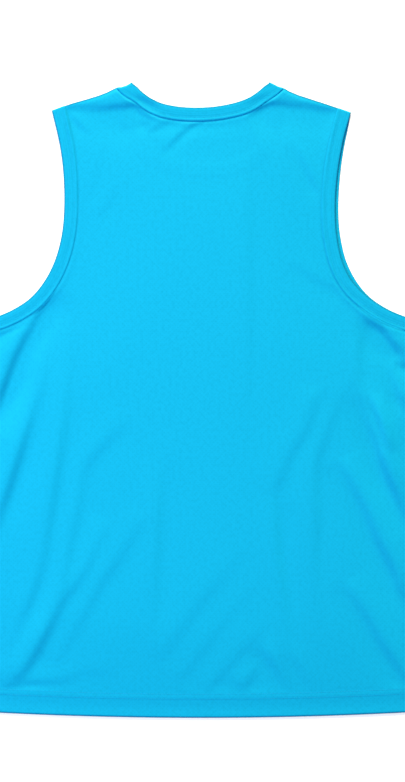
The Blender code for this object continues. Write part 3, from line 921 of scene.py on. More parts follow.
def room(from_seam, from_fold, fades):
    """0 at a seam or a fold and 1 well inside it, with a ramp over the two distances between."""
    return ramp(from_seam / fades[0]) * ramp(from_fold / fades[1])


def creased(x, y, from_seam, from_fold, at_shoulder):
    """Height that the creases add, with less room for them near the edges."""
    crests, dips = crease_relief(x, y, BACK_CREASES)
    crest_room = room(from_seam, from_fold, CREST_ROOM)
    crest_room += at_shoulder * (room(from_seam, from_fold, SHOULDER_CREST_ROOM) - crest_room)
    return crest_room * crests - room(from_seam, from_fold, DIP_ROOM) * dips


def back_face(x, y, from_seams, from_folds):
    """Upper face of the back, before it rounds down to its edges."""
    from_seam, from_fold = from_seams.min(axis=0), from_folds.min(axis=0)
    above_hem = y - hem_y(x)
    at_shoulder = grows(y, *AT_SHOULDER)
    into_neck = front_neck_track.beside(x, y)[0]
    past_seam, past_edge = (grows(into_neck, line - BAND_SOFT / 2, BAND_SOFT) for line in (-BAND_WIDTH, 0.0))
    over_band = past_seam - past_edge
    from_edge = soft_nearest([*from_seams, *from_folds, above_hem], LOFT_SOFTNESS)
    face = FACE_Z + LOFT * ramp(from_edge / LOFT_FADE)
    face += BAND_SHOWS * over_band
    face -= NECK_SAG * ramp(into_neck / NECK_SAG_FADE)
    face -= HEM_FLAT * ends(above_hem, HEM_FLAT_FADE, HEM_FLAT_FADE)
    face -= SHOULDER_FLAT * at_shoulder * ends(from_fold, SHOULDER_FLAT_FADE, SHOULDER_FLAT_FADE)
    face += grows(above_hem, *HEM_CALM) * creased(x, y, from_seam, from_fold, at_shoulder)
    face -= band_sag(x) * at_shoulder * ends(from_seams[0], SAG_FADE, SAG_FADE)
    face = soft_least(face, LEAST_Z + BAND_LEAST * over_band)
    return face + seam_form(from_seam, x, y) + hem_form(above_hem, x)


def back_faces(x, y, edges, seams):
    """Lower face, upper face and painted shade at the outer edges and ditches, at each point of the back."""
    from_seams, from_folds = inside_of(seams, x, y), inside_folds(edges, x, y)
    from_fold = from_folds.min(axis=0)
    above_hem = y - hem_y(x)
    upper = back_face(x, y, from_seams, from_folds)
    lower, upper = nosed(upper - wall_at(above_hem), upper, above_hem, HEM_ROUND)
    round_in = rounded(from_fold, FOLD_ROUND)
    upper = FOLD_Z + 2 * RIM_HALF + (upper - FOLD_Z - 2 * RIM_HALF) * round_in
    lower = np.maximum(FOLD_Z + FOLD_HALF_GAP + (lower - FOLD_Z) * round_in, TABLE_GAP)
    # Painted shade: a contact shadow painted into the ditch beside each band.
    painted_ditch_shade = PAINTED_DITCH_SHADE * bump(from_seams - DITCH_AT, DITCH_WIDTH).max(axis=0)
    return np.minimum(lower, upper - LEAST_WALL), upper, np.maximum(painted_edge_shade(from_fold, above_hem), painted_ditch_shade)


back_lower, back_upper, back_painted_shade = back_faces(*back_plan[0].T, back_edges, back_seams)
back_cloth = cloth_wall("back_cloth", back_plan, back_lower, back_upper, back_painted_shade)
highest = round(float(back_upper.max()), 2)
print("back cloth:", len(back_cloth.data.polygons), "faces, up to", highest, "mm high")

# %% [markdown]
# ## The front
#
# The front has the same cut with a deeper neck. It lies face down, so its outer face rests on the
# surface. Cloth that is laid down keeps shallow grooves there, where it doesn't touch. They are guessed,
# because nothing shows them, but they follow the same drag lines from the arms to the sides as on the
# back.

# %% Faces of the front
FRONT_LATTICE_STEP = 5.0
FRONT_HEM_ROUND = 0.7
FRONT_CREASE_ROOM = 14.0
FRONT_HEM_CALM = (27.0, 9.0)
DEEPEST_GROOVE = 0.6
NEEDLE_GROOVE = 0.18        # the needle line draws the hem in by this much
NEEDLE_GROOVE_WIDTH = 0.9
FRONT_CREASES = (
    Crease(8.0, 0.9, (Drop(-118, 110, 0.0), Drop(-122, 70, 0.5), Drop(-126, 30, 0.6), Drop(-132, -10, 0.0))),
    Crease(9.0, 0.9, (
        Drop(-150, 30, 0.0), Drop(-158, -50, 0.7), Drop(-182, -140, 0.8), Drop(-206, -210, 0.0),
    )),
    Crease(9.0, 0.9, (
        Drop(-90, -110, 0.0), Drop(-124, -180, 0.7), Drop(-160, -250, 0.9), Drop(-196, -300, 0.0),
    )),
    Crease(8.0, 0.9, (Drop(172, 60, 0.0), Drop(171, 30, 0.5), Drop(172, 0, 0.6), Drop(174, -40, 0.0))),
    Crease(9.0, 0.9, (Drop(140, 20, 0.0), Drop(128, -60, 0.6), Drop(134, -150, 0.6), Drop(150, -230, 0.0))),
    Crease(9.0, 0.9, (
        Drop(150, -60, 0.0), Drop(190, -130, 0.7), Drop(222, -200, 0.8), Drop(240, -250, 0.0),
    )),
    Crease(8.0, 0.9, (Drop(60, -190, 0.0), Drop(20, -240, 0.6), Drop(-20, -290, 0.6), Drop(-40, -320, 0.0))),
    Crease(7.0, 0.9, (
        Drop(-80, 240, 0.0), Drop(-100, 200, 0.4), Drop(-108, 150, 0.4), Drop(-112, 110, 0.0),
    )),
    Crease(7.0, 0.9, (Drop(90, 236, 0.0), Drop(106, 190, 0.4), Drop(118, 140, 0.4), Drop(140, 110, 0.0))),
)


def front_faces(x, y, edges):
    """Lower face, upper face and painted shade at the outer edges, at each point of the front."""
    from_fold = inside_folds(edges, x, y).min(axis=0)
    above_hem = y - hem_y(x)
    calm = ramp(from_fold / FRONT_CREASE_ROOM) * grows(above_hem, *FRONT_HEM_CALM)
    lower = np.minimum(calm * crease_relief(x, y, FRONT_CREASES)[0], DEEPEST_GROOVE)
    lower += NEEDLE_GROOVE * bump(above_hem - HEM_DEPTH, NEEDLE_GROOVE_WIDTH)
    lower, upper = nosed(lower, lower + wall_at(above_hem), above_hem, FRONT_HEM_ROUND)
    round_in = rounded(from_fold, FOLD_ROUND)
    lower = FOLD_Z - 2 * RIM_HALF + (lower - FOLD_Z + 2 * RIM_HALF) * round_in
    upper = FOLD_Z - FOLD_HALF_GAP + (upper - FOLD_Z) * round_in
    return lower, upper, painted_edge_shade(from_fold, above_hem)


front_edges, _ = panel_edges(FRONT_NECK, RIGHT_FRONT_ARMHOLE, LEFT_ARMHOLE, 0.0)
front_plan = panel_plan(front_edges, FRONT_LATTICE_STEP)
front_lower, front_upper, front_painted_shade = front_faces(*front_plan[0].T, front_edges)
front_cloth = cloth_wall("front_cloth", front_plan, front_lower, front_upper, front_painted_shade)
print("front cloth:", len(front_cloth.data.polygons), "faces")

# %% [markdown]
# ## The bands
#
# A band is a strip of knit folded double and sewn on so that its fold is the garment's free edge. Its
# outer face has a round edge, a low crown, a needle line, and a bead where the allowance inside lifts
# it, before it drops into the seam. One profile across the band holds all of that, and it is carried
# along the neck or the armhole: over the back, round the fold at the shoulder or the underarm, and back
# along the front.

# %% Profile across a band


class Across(NamedTuple):
    """Height of the outer face, at a distance from the free edge."""
    at: float
    rise: float


NEEDLE_AT = 11.2            # the needle line of a band lies this far from its free edge
BAND_PROFILE = (
    Across(0.00, -0.70), Across(0.12, -0.40), Across(0.40, -0.16), Across(0.85, 0.00),
    Across(1.50, 0.10), Across(2.60, 0.17), Across(4.20, 0.20), Across(6.00, 0.15),
    Across(8.00, 0.07), Across(9.60, 0.00), Across(10.50, -0.06), Across(NEEDLE_AT, -0.09),
    Across(11.90, 0.00), Across(12.70, 0.12), Across(13.60, 0.20), Across(14.20, 0.17),
    Across(14.70, 0.09), Across(15.10, -0.03), Across(15.40, -0.16), Across(BAND_WIDTH, -0.32),
)
BAND_INSIDE = (BAND_WIDTH, 12.5, 8.0, 4.0, 1.2, 0.35)
OUTER_MARK = 4              # a point of a section on its outer face,
INNER_MARK = -3             # and one on its inner face; their heights show how far it has turned
BAND_WALL = 1.4
INNER_DEPTH = (0.65, 0.35)          # the inner face lies this deep, and this much deeper where it faces down
EDGE_DEPTH = (0.55, 2.0)            # at the free edge it is this share of it, and comes in over this distance
PAINTED_TURN_SHADE = 0.6            # painted shade darkens a band where it turns over a fold
PAINTED_TURN_SHADE_FROM = (0.3, 0.5)
BAND_STEP = 1.8
BAND_FACE_Z = 3.3           # outer face of a band on the back
UPPER_Z = BAND_FACE_Z - BAND_WALL / 2
LOWER_Z = BAND_WALL / 2
FOLD_RADIUS = 0.95
DENT_FADE = 9.0             # a band's creases fade out over this distance from its seam
BEND_SECTIONS = 12
NECKBAND_CREASES = (
    Crease(6.0, 0.3, (
        Drop(-84, 338, 0.6), Drop(-76, 342, 1.3), Drop(-66, 341, 1.9), Drop(-56, 337, 1.6),
        Drop(-44, 332, 0.3),
    )),
    Crease(5.0, 0.5, (Drop(46, 335, 0.0), Drop(58, 339, 0.6), Drop(70, 343, 0.8), Drop(80, 344, 0.3))),
)


def band_section(place, into, normal, middle_z, share=1.0, dent=None):
    """Points round the band at one place along it: the outer face from the free edge, then the inner face."""
    points = []
    for index, across in enumerate(BAND_PROFILE):
        rise = BAND_WALL / 2 + across.rise * (share if across.rise > 0 else 1.0)
        if dent is not None:
            rise += dent[index]
        xy = np.array(place) + np.array(into) * across.at
        points.append(np.array((*xy, middle_z)) + np.array(normal) * rise)
    depth = BAND_WALL / 2 * (INNER_DEPTH[0] + INNER_DEPTH[1] * normal[2])
    for at in BAND_INSIDE:
        xy = np.array(place) + np.array(into) * at
        points.append(np.array((*xy, middle_z))
                      - np.array(normal) * depth * min(1.0, EDGE_DEPTH[0] + at / EDGE_DEPTH[1]))
    return points


def band_turn(place, into, away, downward):
    """Sections round a fold line, from the back's layer to the front's or the other way."""
    sections = []
    for index in range(1, BEND_SECTIONS):
        angle = math.pi * index / BEND_SECTIONS
        rise = math.cos(angle) if downward else -math.cos(angle)
        reach = math.sin(angle)
        normal = (away[0] * reach, away[1] * reach, rise)
        shifted = np.array(place) + np.array(away) * reach * FOLD_RADIUS
        sections.append(band_section(shifted, into, normal, FOLD_Z + rise * FOLD_RADIUS, 0.0))
    return sections


def band_strip(edge, into, middle_z, face, dents=None):
    """Sections along one layer; face is 1 on the back and -1 on the front."""
    reach = reach_along(edge)
    share = ramp(reach / FOLD_TURN) * ramp((reach[-1] - reach) / FOLD_TURN) * (face > 0)
    dents = [None] * len(edge) if dents is None else dents
    return [band_section(place, direction, (0.0, 0.0, face), height, crown, dent)
            for place, direction, height, crown, dent in zip(edge, into, middle_z, share, dents)]


print("a section of a band has", len(BAND_PROFILE) + len(BAND_INSIDE), "points")

# %% From sections to a ring


def band_mesh(name, sections):
    """A closed ring through the sections; its UV map runs across it and along it, in metres."""
    rings = np.array(sections)
    count, around = rings.shape[:2]
    outer = rings[:, OUTER_MARK]
    reach = np.concatenate(([0.0], np.cumsum(np.linalg.norm(np.diff(outer, axis=0), axis=1))))
    reach = np.append(reach, reach[-1] + np.linalg.norm(outer[0] - outer[-1]))
    width = np.array([across.at for across in BAND_PROFILE] + [2 * BAND_WIDTH - at for at in BAND_INSIDE])
    width = np.append(width, 2 * BAND_WIDTH)
    faces, layout = [], []
    for i in range(count):
        for j in range(around):
            corners = ((i, j), (i, j + 1), (i + 1, j + 1), (i + 1, j))
            faces.append([(a % count) * around + b % around for a, b in corners])
            layout += [(width[b] * MM, reach[a] * MM) for a, b in corners]
    data = bpy.data.meshes.new(name)
    data.from_pydata((settled(rings.reshape(-1, 3)) * MM).tolist(), [], faces)
    data.uv_layers.new(name="cloth").data.foreach_set("uv", np.array(layout, dtype=np.float32).ravel())
    mesh = bmesh.new()
    mesh.from_mesh(data)
    bmesh.ops.recalc_face_normals(mesh, faces=mesh.faces)
    mesh.to_mesh(data)
    mesh.free()
    data.shade_smooth()
    # Painted shade: darker at the free edge and where the band turns over a fold.
    edge = [1.0 - grows(across.at, RIM_FULL, RIM_FADE) for across in BAND_PROFILE] + [0.0] * len(BAND_INSIDE)
    turned = 1.0 - np.abs(outer[:, 2] - rings[:, INNER_MARK, 2]) / BAND_WALL
    set_painted_shade(data, np.maximum(edge, PAINTED_TURN_SHADE * grows(turned, *PAINTED_TURN_SHADE_FROM)[:, None]).ravel())
    return new_object(name, data)


def band_dents(places, at):
    """Heights that the neckband's own creases add, so far from its free edge."""
    crests, dips = crease_relief(places[..., 0].ravel(), places[..., 1].ravel(), NECKBAND_CREASES)
    return (crests - dips).reshape(places.shape[:-1]) * ramp((BAND_WIDTH - np.asarray(at)) / DENT_FADE)


def neckband_cloth():
    """The neckband: over the back, round the right shoulder, along the front and round the left one."""
    back, front = neck_edge(BACK_NECK, BAND_STEP), neck_edge(FRONT_NECK, BAND_STEP)
    into = neck_inward(back)
    at = np.array([across.at for across in BAND_PROFILE])
    dents = band_dents(back[:, None] + into[:, None] * at[:, None], at)
    sections = band_strip(back, into, UPPER_Z - band_sag(back[:, 0]), 1, dents)
    sections += band_turn(back[-1], SHOULDER_LINE, outward(SHOULDER_LINE), True)
    sections += band_strip(front, neck_inward(front), np.full(len(front), LOWER_Z), -1)[::-1]
    sections += band_turn(back[0], mirrored(SHOULDER_LINE, -1), mirrored(outward(SHOULDER_LINE), -1), False)
    return band_mesh("neckband_cloth", sections)


def armhole_cloth(name, back_keys, front_keys, side):
    """An armhole band: down the back, round the underarm, up the front and round the shoulder tip."""
    back, front = armhole_edge(back_keys, side, BAND_STEP), armhole_edge(front_keys, side, BAND_STEP)
    down, up = mirrored(SIDE_LINE, side), mirrored(-SHOULDER_LINE, side)
    sections = band_strip(back, armhole_inward(back, side), np.full(len(back), UPPER_Z), 1)
    sections += band_turn(back[-1], down, mirrored(outward(SIDE_LINE), side), True)
    sections += band_strip(front, armhole_inward(front, side), np.full(len(front), LOWER_Z), -1)[::-1]
    sections += band_turn(back[0], up, mirrored(outward(SHOULDER_LINE), side), False)
    return band_mesh(name, sections)


neckband = neckband_cloth()
right_band = armhole_cloth("right_armhole_cloth", RIGHT_BACK_ARMHOLE, RIGHT_FRONT_ARMHOLE, 1)
left_band = armhole_cloth("left_armhole_cloth", LEFT_ARMHOLE, LEFT_ARMHOLE, -1)
print("bands:", [len(band.data.polygons) for band in (neckband, right_band, left_band)], "faces")

# %% [markdown]
# ## Sewn rows
#
# A sewing machine leaves the same short stitch again and again, so Geometry Nodes lay them: a guide line
# is read at the stitch pitch, a small thread loop is placed on every point and turned along the line,
# and a little of its length varies from one to the next. The tree's inputs are the pitch, the length and
# the thickness of a stitch.

# %% Stitch tree
STITCH_PITCH = 2.9
STITCH_LENGTH = 2.3
THREAD = 0.32
LEAST_SHARE = (0.86, 0.92, 0.92)            # of the length, the thickness across and the thickness up
MOST_SHARE = (1.08, 1.08, 1.08)
STITCH_SEED = 11


def set_inputs(node, **values):
    """Sets a node's inputs by their names, with _ for a space."""
    for title, value in values.items():
        node.inputs[title.replace("_", " ")].default_value = value
    return node


def stitch_tree():
    """Stitches along every line of a guide mesh."""
    tree = bpy.data.node_groups.new("stitch_row", "GeometryNodeTree")
    for name, side, kind in (
            ("Geometry", "INPUT", "Geometry"), ("Pitch", "INPUT", "Float"), ("Length", "INPUT", "Float"),
            ("Thickness", "INPUT", "Float"), ("Thread", "INPUT", "Material"),
            ("Geometry", "OUTPUT", "Geometry")):
        tree.interface.new_socket(name, in_out=side, socket_type="NodeSocket" + kind)
    node = tree.nodes.new
    given, out = node("NodeGroupInput"), node("NodeGroupOutput")
    line = node("GeometryNodeMeshToCurve")
    rows = node("GeometryNodeResampleCurve")
    rows.mode = "LENGTH"
    ball = set_inputs(node("GeometryNodeMeshUVSphere"), Segments=8, Rings=5, Radius=0.5)
    size = node("ShaderNodeCombineXYZ")
    tangent = node("GeometryNodeInputTangent")
    turn = node("FunctionNodeAlignRotationToVector")
    turn.axis = "X"
    uneven = node("FunctionNodeRandomValue")
    uneven.data_type = "FLOAT_VECTOR"
    set_inputs(uneven, Min=LEAST_SHARE, Max=MOST_SHARE, Seed=STITCH_SEED)
    scale = node("ShaderNodeVectorMath")
    scale.operation = "MULTIPLY"
    place = node("GeometryNodeInstanceOnPoints")
    real = node("GeometryNodeRealizeInstances")
    smooth = node("GeometryNodeSetShadeSmooth")
    paint = node("GeometryNodeSetMaterial")
    for source, title, target, socket in (
            (given, "Geometry", line, "Mesh"), (line, "Curve", rows, "Curve"),
            (given, "Pitch", rows, "Length"), (given, "Length", size, "X"),
            (given, "Thickness", size, "Y"), (given, "Thickness", size, "Z"),
            (size, "Vector", scale, 0), (uneven, "Value", scale, 1), (tangent, "Tangent", turn, "Vector"),
            (rows, "Curve", place, "Points"), (ball, "Mesh", place, "Instance"),
            (turn, "Rotation", place, "Rotation"), (scale, "Vector", place, "Scale"),
            (place, "Instances", real, "Geometry"), (real, "Geometry", smooth, "Geometry"),
            (smooth, "Geometry", paint, "Geometry"), (given, "Thread", paint, "Material"),
            (paint, "Geometry", out, "Geometry")):
        tree.links.new(source.outputs[title], target.inputs[socket])
    return tree


STITCHES = stitch_tree()
print("stitch tree:", len(STITCHES.nodes), "nodes")

# %% [markdown]
# ## Cloth and thread
#
# The knit has rows of tiny holes, staggered like bricks and a little over two millimetres apart, and
# faint streaks where the yarn varies. Both are wanted in more than one material, so they are shader node
# groups with named inputs. They give masks and heights only. The shader itself stays in each material,
# with the cloth's own colour, painted shade at edges, ditches and turns, a matt surface and a slight sheen.

# %% Shader groups
HOLE_EDGE = (0.7, 1.3)      # a hole's soft edge runs between these shares of its radius


def feed(tree, socket, value):
    """Links a socket to another node's output, or sets its value."""
    if isinstance(value, bpy.types.NodeSocket):
        tree.links.new(value, socket)
    else:
        socket.default_value = value


def math_in(tree):
    """A function that adds a math node to the tree and returns its result."""
    def calc(operation, *values):
        """One step of arithmetic on sockets or numbers."""
        made = tree.nodes.new("ShaderNodeMath")
        made.operation = operation
        for socket, value in zip(made.inputs, values):
            feed(tree, socket, value)
        return made.outputs["Value"]
    return calc


def group(name, sizes, outputs):
    """An empty shader group that takes a vector and named sizes."""
    tree = bpy.data.node_groups.new(name, "ShaderNodeTree")
    tree.interface.new_socket("Vector", in_out="INPUT", socket_type="NodeSocketVector")
    for title, value in sizes.items():
        socket = tree.interface.new_socket(title, in_out="INPUT", socket_type="NodeSocketFloat")
        socket.default_value = value
    for title in outputs:
        tree.interface.new_socket(title, in_out="OUTPUT", socket_type="NodeSocketFloat")
    given, out = tree.nodes.new("NodeGroupInput"), tree.nodes.new("NodeGroupOutput")
    apart = tree.nodes.new("ShaderNodeSeparateXYZ")
    tree.links.new(given.outputs["Vector"], apart.inputs["Vector"])
    return tree, given.outputs, out.inputs, apart.outputs, math_in(tree)


def micro_mesh_group():
    """Staggered holes: the mask is 1 in a hole and 0 on the yarn between them."""
    tree, given, out, apart, calc = group(
        "micro_mesh", {"Pitch": 0.0045, "Row": 0.00225, "Hole": 0.0008}, ("Mask",))
    row = calc("DIVIDE", apart["Y"], given["Row"])
    odd = calc("MODULO", calc("ABSOLUTE", calc("FLOOR", row)), 2.0)
    column = calc("ADD", calc("DIVIDE", apart["X"], given["Pitch"]), calc("MULTIPLY", odd, 0.5))
    along = calc("MULTIPLY", calc("SUBTRACT", calc("FRACT", column), 0.5), given["Pitch"])
    up = calc("MULTIPLY", calc("SUBTRACT", calc("FRACT", row), 0.5), given["Row"])
    distance = calc("SQRT", calc("ADD", calc("MULTIPLY", along, along), calc("MULTIPLY", up, up)))
    edge = set_inputs(tree.nodes.new("ShaderNodeMapRange"), To_Min=1.0, To_Max=0.0)
    edge.interpolation_type = "SMOOTHSTEP"
    feed(tree, edge.inputs["Value"], distance)
    for title, share in zip(("From Min", "From Max"), HOLE_EDGE):
        feed(tree, edge.inputs[title], calc("MULTIPLY", given["Hole"], share))
    feed(tree, out["Mask"], edge.outputs["Result"])
    return tree


def yarn_group():
    """Streaks along the knit and soft patches, both from 0 to 1."""
    tree, given, out, apart, calc = group(
        "yarn_variation", {"Across": 330.0, "Along": 30.0, "Patch": 250.0}, ("Streak", "Patch"))
    joined = tree.nodes.new("ShaderNodeCombineXYZ")
    feed(tree, joined.inputs["X"], calc("MULTIPLY", apart["X"], given["Across"]))
    feed(tree, joined.inputs["Y"], calc("MULTIPLY", apart["Y"], given["Along"]))
    streak = set_inputs(tree.nodes.new("ShaderNodeTexNoise"), Scale=1.0, Detail=2.0)
    patch = set_inputs(tree.nodes.new("ShaderNodeTexNoise"), Detail=3.0)
    feed(tree, streak.inputs["Vector"], joined.outputs["Vector"])
    feed(tree, patch.inputs["Vector"], given["Vector"])
    feed(tree, patch.inputs["Scale"], given["Patch"])
    feed(tree, out["Streak"], streak.outputs["Fac"])
    feed(tree, out["Patch"], patch.outputs["Fac"])
    return tree


def rib_group():
    """Fine ribs that run along a band: the height is 1 on a rib and 0 between two."""
    tree, given, out, apart, calc = group("fine_rib", {"Pitch": 0.0026}, ("Height",))
    wave = calc("SINE", calc("MULTIPLY", calc("DIVIDE", apart["X"], given["Pitch"]), math.tau))
    feed(tree, out["Height"], calc("ADD", calc("MULTIPLY", wave, 0.5), 0.5))
    return tree


MICRO_MESH, YARN, FINE_RIB = micro_mesh_group(), yarn_group(), rib_group()
print("shader groups:", MICRO_MESH.name, YARN.name, FINE_RIB.name)

# %% Materials
CLOTH_COLOUR = (0.0050, 0.486, 0.795, 1.0)
CLOTH_DEEP = (0.0030, 0.424, 0.705, 1.0)
BAND_COLOUR = (0.0050, 0.477, 0.785, 1.0)
THREAD_COLOUR = (0.007, 0.455, 0.750, 1.0)
# Painted shade: this colour is mixed into the cloth by the rim attribute, at the share below.
PAINTED_SHADE_COLOUR = (0.002, 0.180, 0.390, 1.0)
PAINTED_SHADE_STRENGTH = 0.8
SHEEN_TINT = (0.30, 0.75, 1.0, 1.0)
PATCH_STRENGTH = 2.0
DEEP_SHARE = 0.15           # everywhere, the cloth is mixed with this much of its deeper colour
RELIEF_STRENGTH = 0.35
RELIEF_DISTANCE = 0.00018


def placed(tree, kind, vector, **values):
    """A shader group in a material, with its own values; returns what it puts out."""
    made = tree.nodes.new("ShaderNodeGroup")
    made.node_tree = kind
    tree.links.new(vector, made.inputs["Vector"])
    return set_inputs(made, **values).outputs


def mixed(tree, share, first, second):
    """Two colours, mixed by a share of the second."""
    made = tree.nodes.new("ShaderNodeMix")
    made.data_type = "RGBA"
    for title, value in (("Factor", share), ("A", first), ("B", second)):
        feed(tree, made.inputs[title], value)
    return made.outputs["Result"]


def shaded(name, **values):
    """A material whose main shader has the given values."""
    made = bpy.data.materials.new(name)
    made.use_nodes = True
    return made, made.node_tree, set_inputs(made.node_tree.nodes["Principled BSDF"], **values)


def knit_material(name, holes, ribs, streaks, plain):
    """A knit with so much of each pattern."""
    made, tree, shader = shaded(name, Roughness=0.62, Specular_IOR_Level=0.06, Sheen_Weight=0.015,
                                Sheen_Roughness=0.45, Sheen_Tint=SHEEN_TINT)
    layout = tree.nodes.new("ShaderNodeUVMap")
    layout.uv_map = "cloth"
    hole, yarn, rib = (placed(tree, kind, layout.outputs["UV"]) for kind in (MICRO_MESH, YARN, FINE_RIB))
    calc = math_in(tree)
    patch = calc("MULTIPLY", calc("SUBTRACT", yarn["Patch"], 0.5), PATCH_STRENGTH)
    streak = calc("MULTIPLY", calc("SUBTRACT", yarn["Streak"], 0.5), streaks)
    spot = calc("MULTIPLY", hole["Mask"], holes)
    line = calc("MULTIPLY", calc("SUBTRACT", 1.0, rib["Height"]), ribs)
    share = calc("ADD", calc("ADD", calc("ADD", patch, streak), calc("ADD", spot, line)), DEEP_SHARE)
    # The rim attribute carries painted shade, which darkens the base colour.
    rim = tree.nodes.new("ShaderNodeAttribute")
    rim.attribute_name = "rim"
    painted_shade_share = calc("MULTIPLY", rim.outputs["Fac"], PAINTED_SHADE_STRENGTH)
    cloth_colour = mixed(tree, share, plain, CLOTH_DEEP)
    feed(tree, shader.inputs["Base Color"], mixed(tree, painted_shade_share, cloth_colour, PAINTED_SHADE_COLOUR))
    relief = set_inputs(tree.nodes.new("ShaderNodeBump"), Strength=RELIEF_STRENGTH, Distance=RELIEF_DISTANCE)
    feed(tree, relief.inputs["Height"], calc("SUBTRACT", calc("MULTIPLY", rib["Height"], ribs), spot))
    feed(tree, shader.inputs["Normal"], relief.outputs["Normal"])
    return made


def thread_material():
    """Satin thread with a fine twist."""
    made, tree, shader = shaded("sewing_thread", Roughness=0.45, Specular_IOR_Level=0.2, Sheen_Weight=0.0)
    place = tree.nodes.new("ShaderNodeTexCoord")
    yarn = placed(tree, YARN, place.outputs["Object"], Across=1500.0, Along=900.0, Patch=160.0)
    feed(tree, shader.inputs["Base Color"], mixed(tree, yarn["Streak"], THREAD_COLOUR, CLOTH_DEEP))
    return made


mesh_knit = knit_material("micro_mesh_knit", holes=0.36, ribs=0.0, streaks=0.35, plain=CLOTH_COLOUR)
band_knit = knit_material("folded_band_knit", holes=0.2, ribs=0.45, streaks=1.8, plain=BAND_COLOUR)
thread = thread_material()
for cloth in (back_cloth, front_cloth):
    cloth.data.materials.append(mesh_knit)
for cloth in (neckband, right_band, left_band):
    cloth.data.materials.append(band_knit)
print("materials:", mesh_knit.name, band_knit.name, thread.name)

# %% [markdown]
# ## Laying the stitches
#
# The guide lines lie on the finished cloth: two needle lines along the hem of each panel, and one along
# each band, in the shallow groove before its bead. A guide's height comes from the same numbers as the
# cloth under it, so the thread sinks in by half of its thickness.

# %% Guides and stitches
HEM_GUIDES = ((HEM_DEPTH, 6.0), (TURN_UP, 6.6))     # height above the edge, and distance from the sides
HEM_GUIDE_STEP = 1.4
BACK_HEM_LIFT = 0.06
FRONT_HEM_LIFT = 0.10
NEEDLE_Z = BAND_FACE_Z - 0.02
FRONT_NEEDLE_Z = 0.14
GUIDE_MARGIN = 4.0          # a band's needle line ends this far from the folds


def hem_guides(plan, heights, lift):
    """The two needle lines of a hem, on the face whose heights are given."""
    tree = tree_of(plan[0])
    guides = []
    for above, margin in HEM_GUIDES:
        x = np.arange(-HEM_HALF_WIDTH + margin, HEM_HALF_WIDTH - margin, HEM_GUIDE_STEP)
        y = hem_y(x) + above
        z = np.array([heights[tree.find((a, b, 0.0))[1]] for a, b in zip(x, y)])
        guides.append(np.column_stack((x, y, z + lift)))
    return guides


def band_guide(edge, into, z):
    """The needle line of a band."""
    keep = (reach_along(edge) > GUIDE_MARGIN) & (reach_along(edge[::-1])[::-1] > GUIDE_MARGIN)
    line = edge + into * NEEDLE_AT
    return np.column_stack((line, np.zeros(len(line)) + z))[keep]


def armhole_guides(back_keys, front_keys, side):
    """The needle lines of an armhole band on the back and on the front."""
    layers = ((back_keys, NEEDLE_Z), (front_keys, FRONT_NEEDLE_Z))
    edges = [(armhole_edge(keys, side, BAND_STEP), z) for keys, z in layers]
    return [band_guide(edge, armhole_inward(edge, side), z) for edge, z in edges]


def sewn(name, guides):
    """One mesh of stitches along the guides."""
    data = bpy.data.meshes.new(name + "_guide")
    points, edges = [], []
    for guide in guides:
        edges += [(len(points) + index, len(points) + index + 1) for index in range(len(guide) - 1)]
        points += (settled(guide) * MM).tolist()
    data.from_pydata(points, edges, [])
    guide_object = new_object(name + "_guide", data)
    modifier = guide_object.modifiers.new("stitches", "NODES")
    modifier.node_group = STITCHES
    sizes = {"Pitch": STITCH_PITCH * MM, "Length": STITCH_LENGTH * MM, "Thickness": THREAD * MM,
             "Thread": thread}
    for item in STITCHES.interface.items_tree:
        if item.in_out == "INPUT" and item.name in sizes:
            modifier[item.identifier] = sizes[item.name]
    depsgraph = bpy.context.evaluated_depsgraph_get()
    made = bpy.data.meshes.new_from_object(guide_object.evaluated_get(depsgraph))
    made.name = name
    bpy.data.objects.remove(guide_object)
    return new_object(name, made)


neck_back, neck_front = neck_edge(BACK_NECK, BAND_STEP), neck_edge(FRONT_NECK, BAND_STEP)
neck_dent = band_dents(neck_back + neck_inward(neck_back) * NEEDLE_AT, NEEDLE_AT)
neck_guides = [
    band_guide(neck_back, neck_inward(neck_back), NEEDLE_Z - band_sag(neck_back[:, 0]) + neck_dent),
    band_guide(neck_front, neck_inward(neck_front), FRONT_NEEDLE_Z),
]
stitched = {name: sewn(name, lines) for name, lines in (
    ("back_hem_stitches", hem_guides(back_plan, back_upper, BACK_HEM_LIFT)),
    ("front_hem_stitches", hem_guides(front_plan, front_lower, FRONT_HEM_LIFT)),
    ("neckband_stitches", neck_guides),
    ("right_armhole_stitches", armhole_guides(RIGHT_BACK_ARMHOLE, RIGHT_FRONT_ARMHOLE, 1)),
    ("left_armhole_stitches", armhole_guides(LEFT_ARMHOLE, LEFT_ARMHOLE, -1)),
)}
print("stitches:", {name: len(piece.data.polygons) for name, piece in stitched.items()}, "faces")

# %% [markdown]
# ## What each piece is
#
# Every piece rides on the frame's only body and stands for its solid. The bands and stitches ride on it
# with the panels.

# %% Bodies and nodes
for piece, node, slot in (
        (back_cloth, "back_panel", "mesh_knit"),
        (front_cloth, "front_panel", "mesh_knit"),
        (neckband, "neckband", "band_knit"),
        (right_band, "right_armhole_band", "band_knit"),
        (left_band, "left_armhole_band", "band_knit")):
    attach(piece, "root")
    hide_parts(node)
for piece in stitched.values():
    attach(piece, "root")

# %% [markdown]
# ## Floor, light and camera
#
# The garment lies on a white surface that the light burns out to pure white. The key light stands low
# beyond the neck, a little to the left, so seams and creases that run across the garment show best. A
# pale sky fills the shadows. The camera looks straight down from well above, with a long lens, so the
# garment isn't distorted.

# %% Floor
FLOOR_HALF = 6.0
FLOOR_Z = -0.0001
FLOOR_COLOURS = ((0.89, 0.89, 0.82, 1.0), (0.91, 0.91, 0.84, 1.0))
FLOOR_GLOW = (1.0, 0.92, 0.78, 1.0)


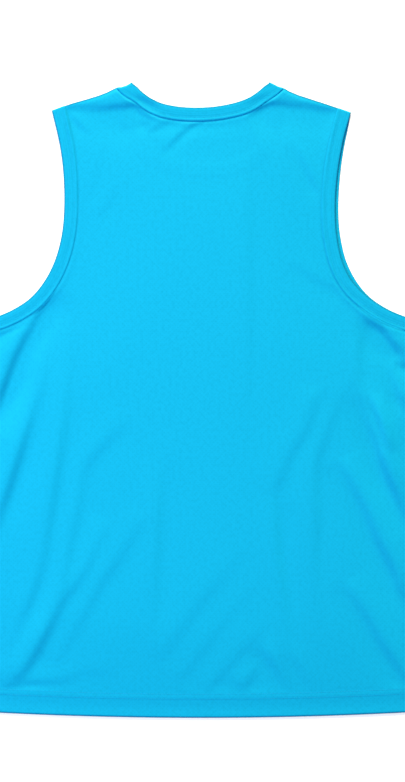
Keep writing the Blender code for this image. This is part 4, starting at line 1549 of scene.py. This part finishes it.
def floor_material():
    """A white surface, bright enough to burn out under the key light."""
    made, tree, shader = shaded("white_surface", Roughness=0.9, Specular_IOR_Level=0.0,
                                Emission_Color=FLOOR_GLOW, Emission_Strength=0.56)
    grain = set_inputs(tree.nodes.new("ShaderNodeTexNoise"), Scale=30.0)
    feed(tree, grain.inputs["Vector"], tree.nodes.new("ShaderNodeTexCoord").outputs["Object"])
    feed(tree, shader.inputs["Base Color"], mixed(tree, grain.outputs["Fac"], *FLOOR_COLOURS))
    return made


floor_data = bpy.data.meshes.new("floor")
corners = [(x * FLOOR_HALF, y * FLOOR_HALF, FLOOR_Z) for x, y in ((-1, -1), (1, -1), (1, 1), (-1, 1))]
floor_data.from_pydata(corners, [], [(0, 1, 2, 3)])
floor_data.materials.append(floor_material())
floor = new_object("floor", floor_data)
print("floor:", 2 * FLOOR_HALF, "m wide")

# %% Light and camera
CAMERA_HEIGHT = 2.4
VIEW_CENTRE = (0.0028, 0.0102)
VIEW_LENGTH = 0.8876                    # length of floor that fills the picture's height
SENSOR = 36.0
SKY_COLOUR = (0.70, 1.0, 1.93, 1.0)
SKY_STRENGTH = 0.135


def soft_light(name, place, size, energy, colour):
    """A round soft box that faces the garment's middle."""
    data = bpy.data.lights.new(name, "AREA")
    data.shape = "DISK"
    data.size = size
    data.energy = energy
    data.color = colour
    light = new_object(name, data)
    light.location = place
    light.rotation_euler = Vector(place).to_track_quat("Z", "Y").to_euler()


soft_light("key", place=(-0.19, 6.80, 3.175), size=2.4, energy=898.0, colour=(1.1, 1.0, 0.58))
soft_light("left_fill", place=(-1.0, 0.1, 1.6), size=1.2, energy=15.5, colour=(0.80, 1.0, 1.50))

sky = bpy.data.worlds.new("sky")
sky.use_nodes = True
set_inputs(sky.node_tree.nodes["Background"], Color=SKY_COLOUR, Strength=SKY_STRENGTH)
bpy.context.scene.world = sky
bpy.context.scene.view_settings.view_transform = "Standard"

camera_data = bpy.data.cameras.new("camera")
camera_data.sensor_width = SENSOR
camera_data.lens = SENSOR * CAMERA_HEIGHT / VIEW_LENGTH
camera = new_object("camera", camera_data)
camera.location = (*VIEW_CENTRE, CAMERA_HEIGHT)
bpy.context.scene.camera = camera
print("lens", round(camera_data.lens, 1), "mm")
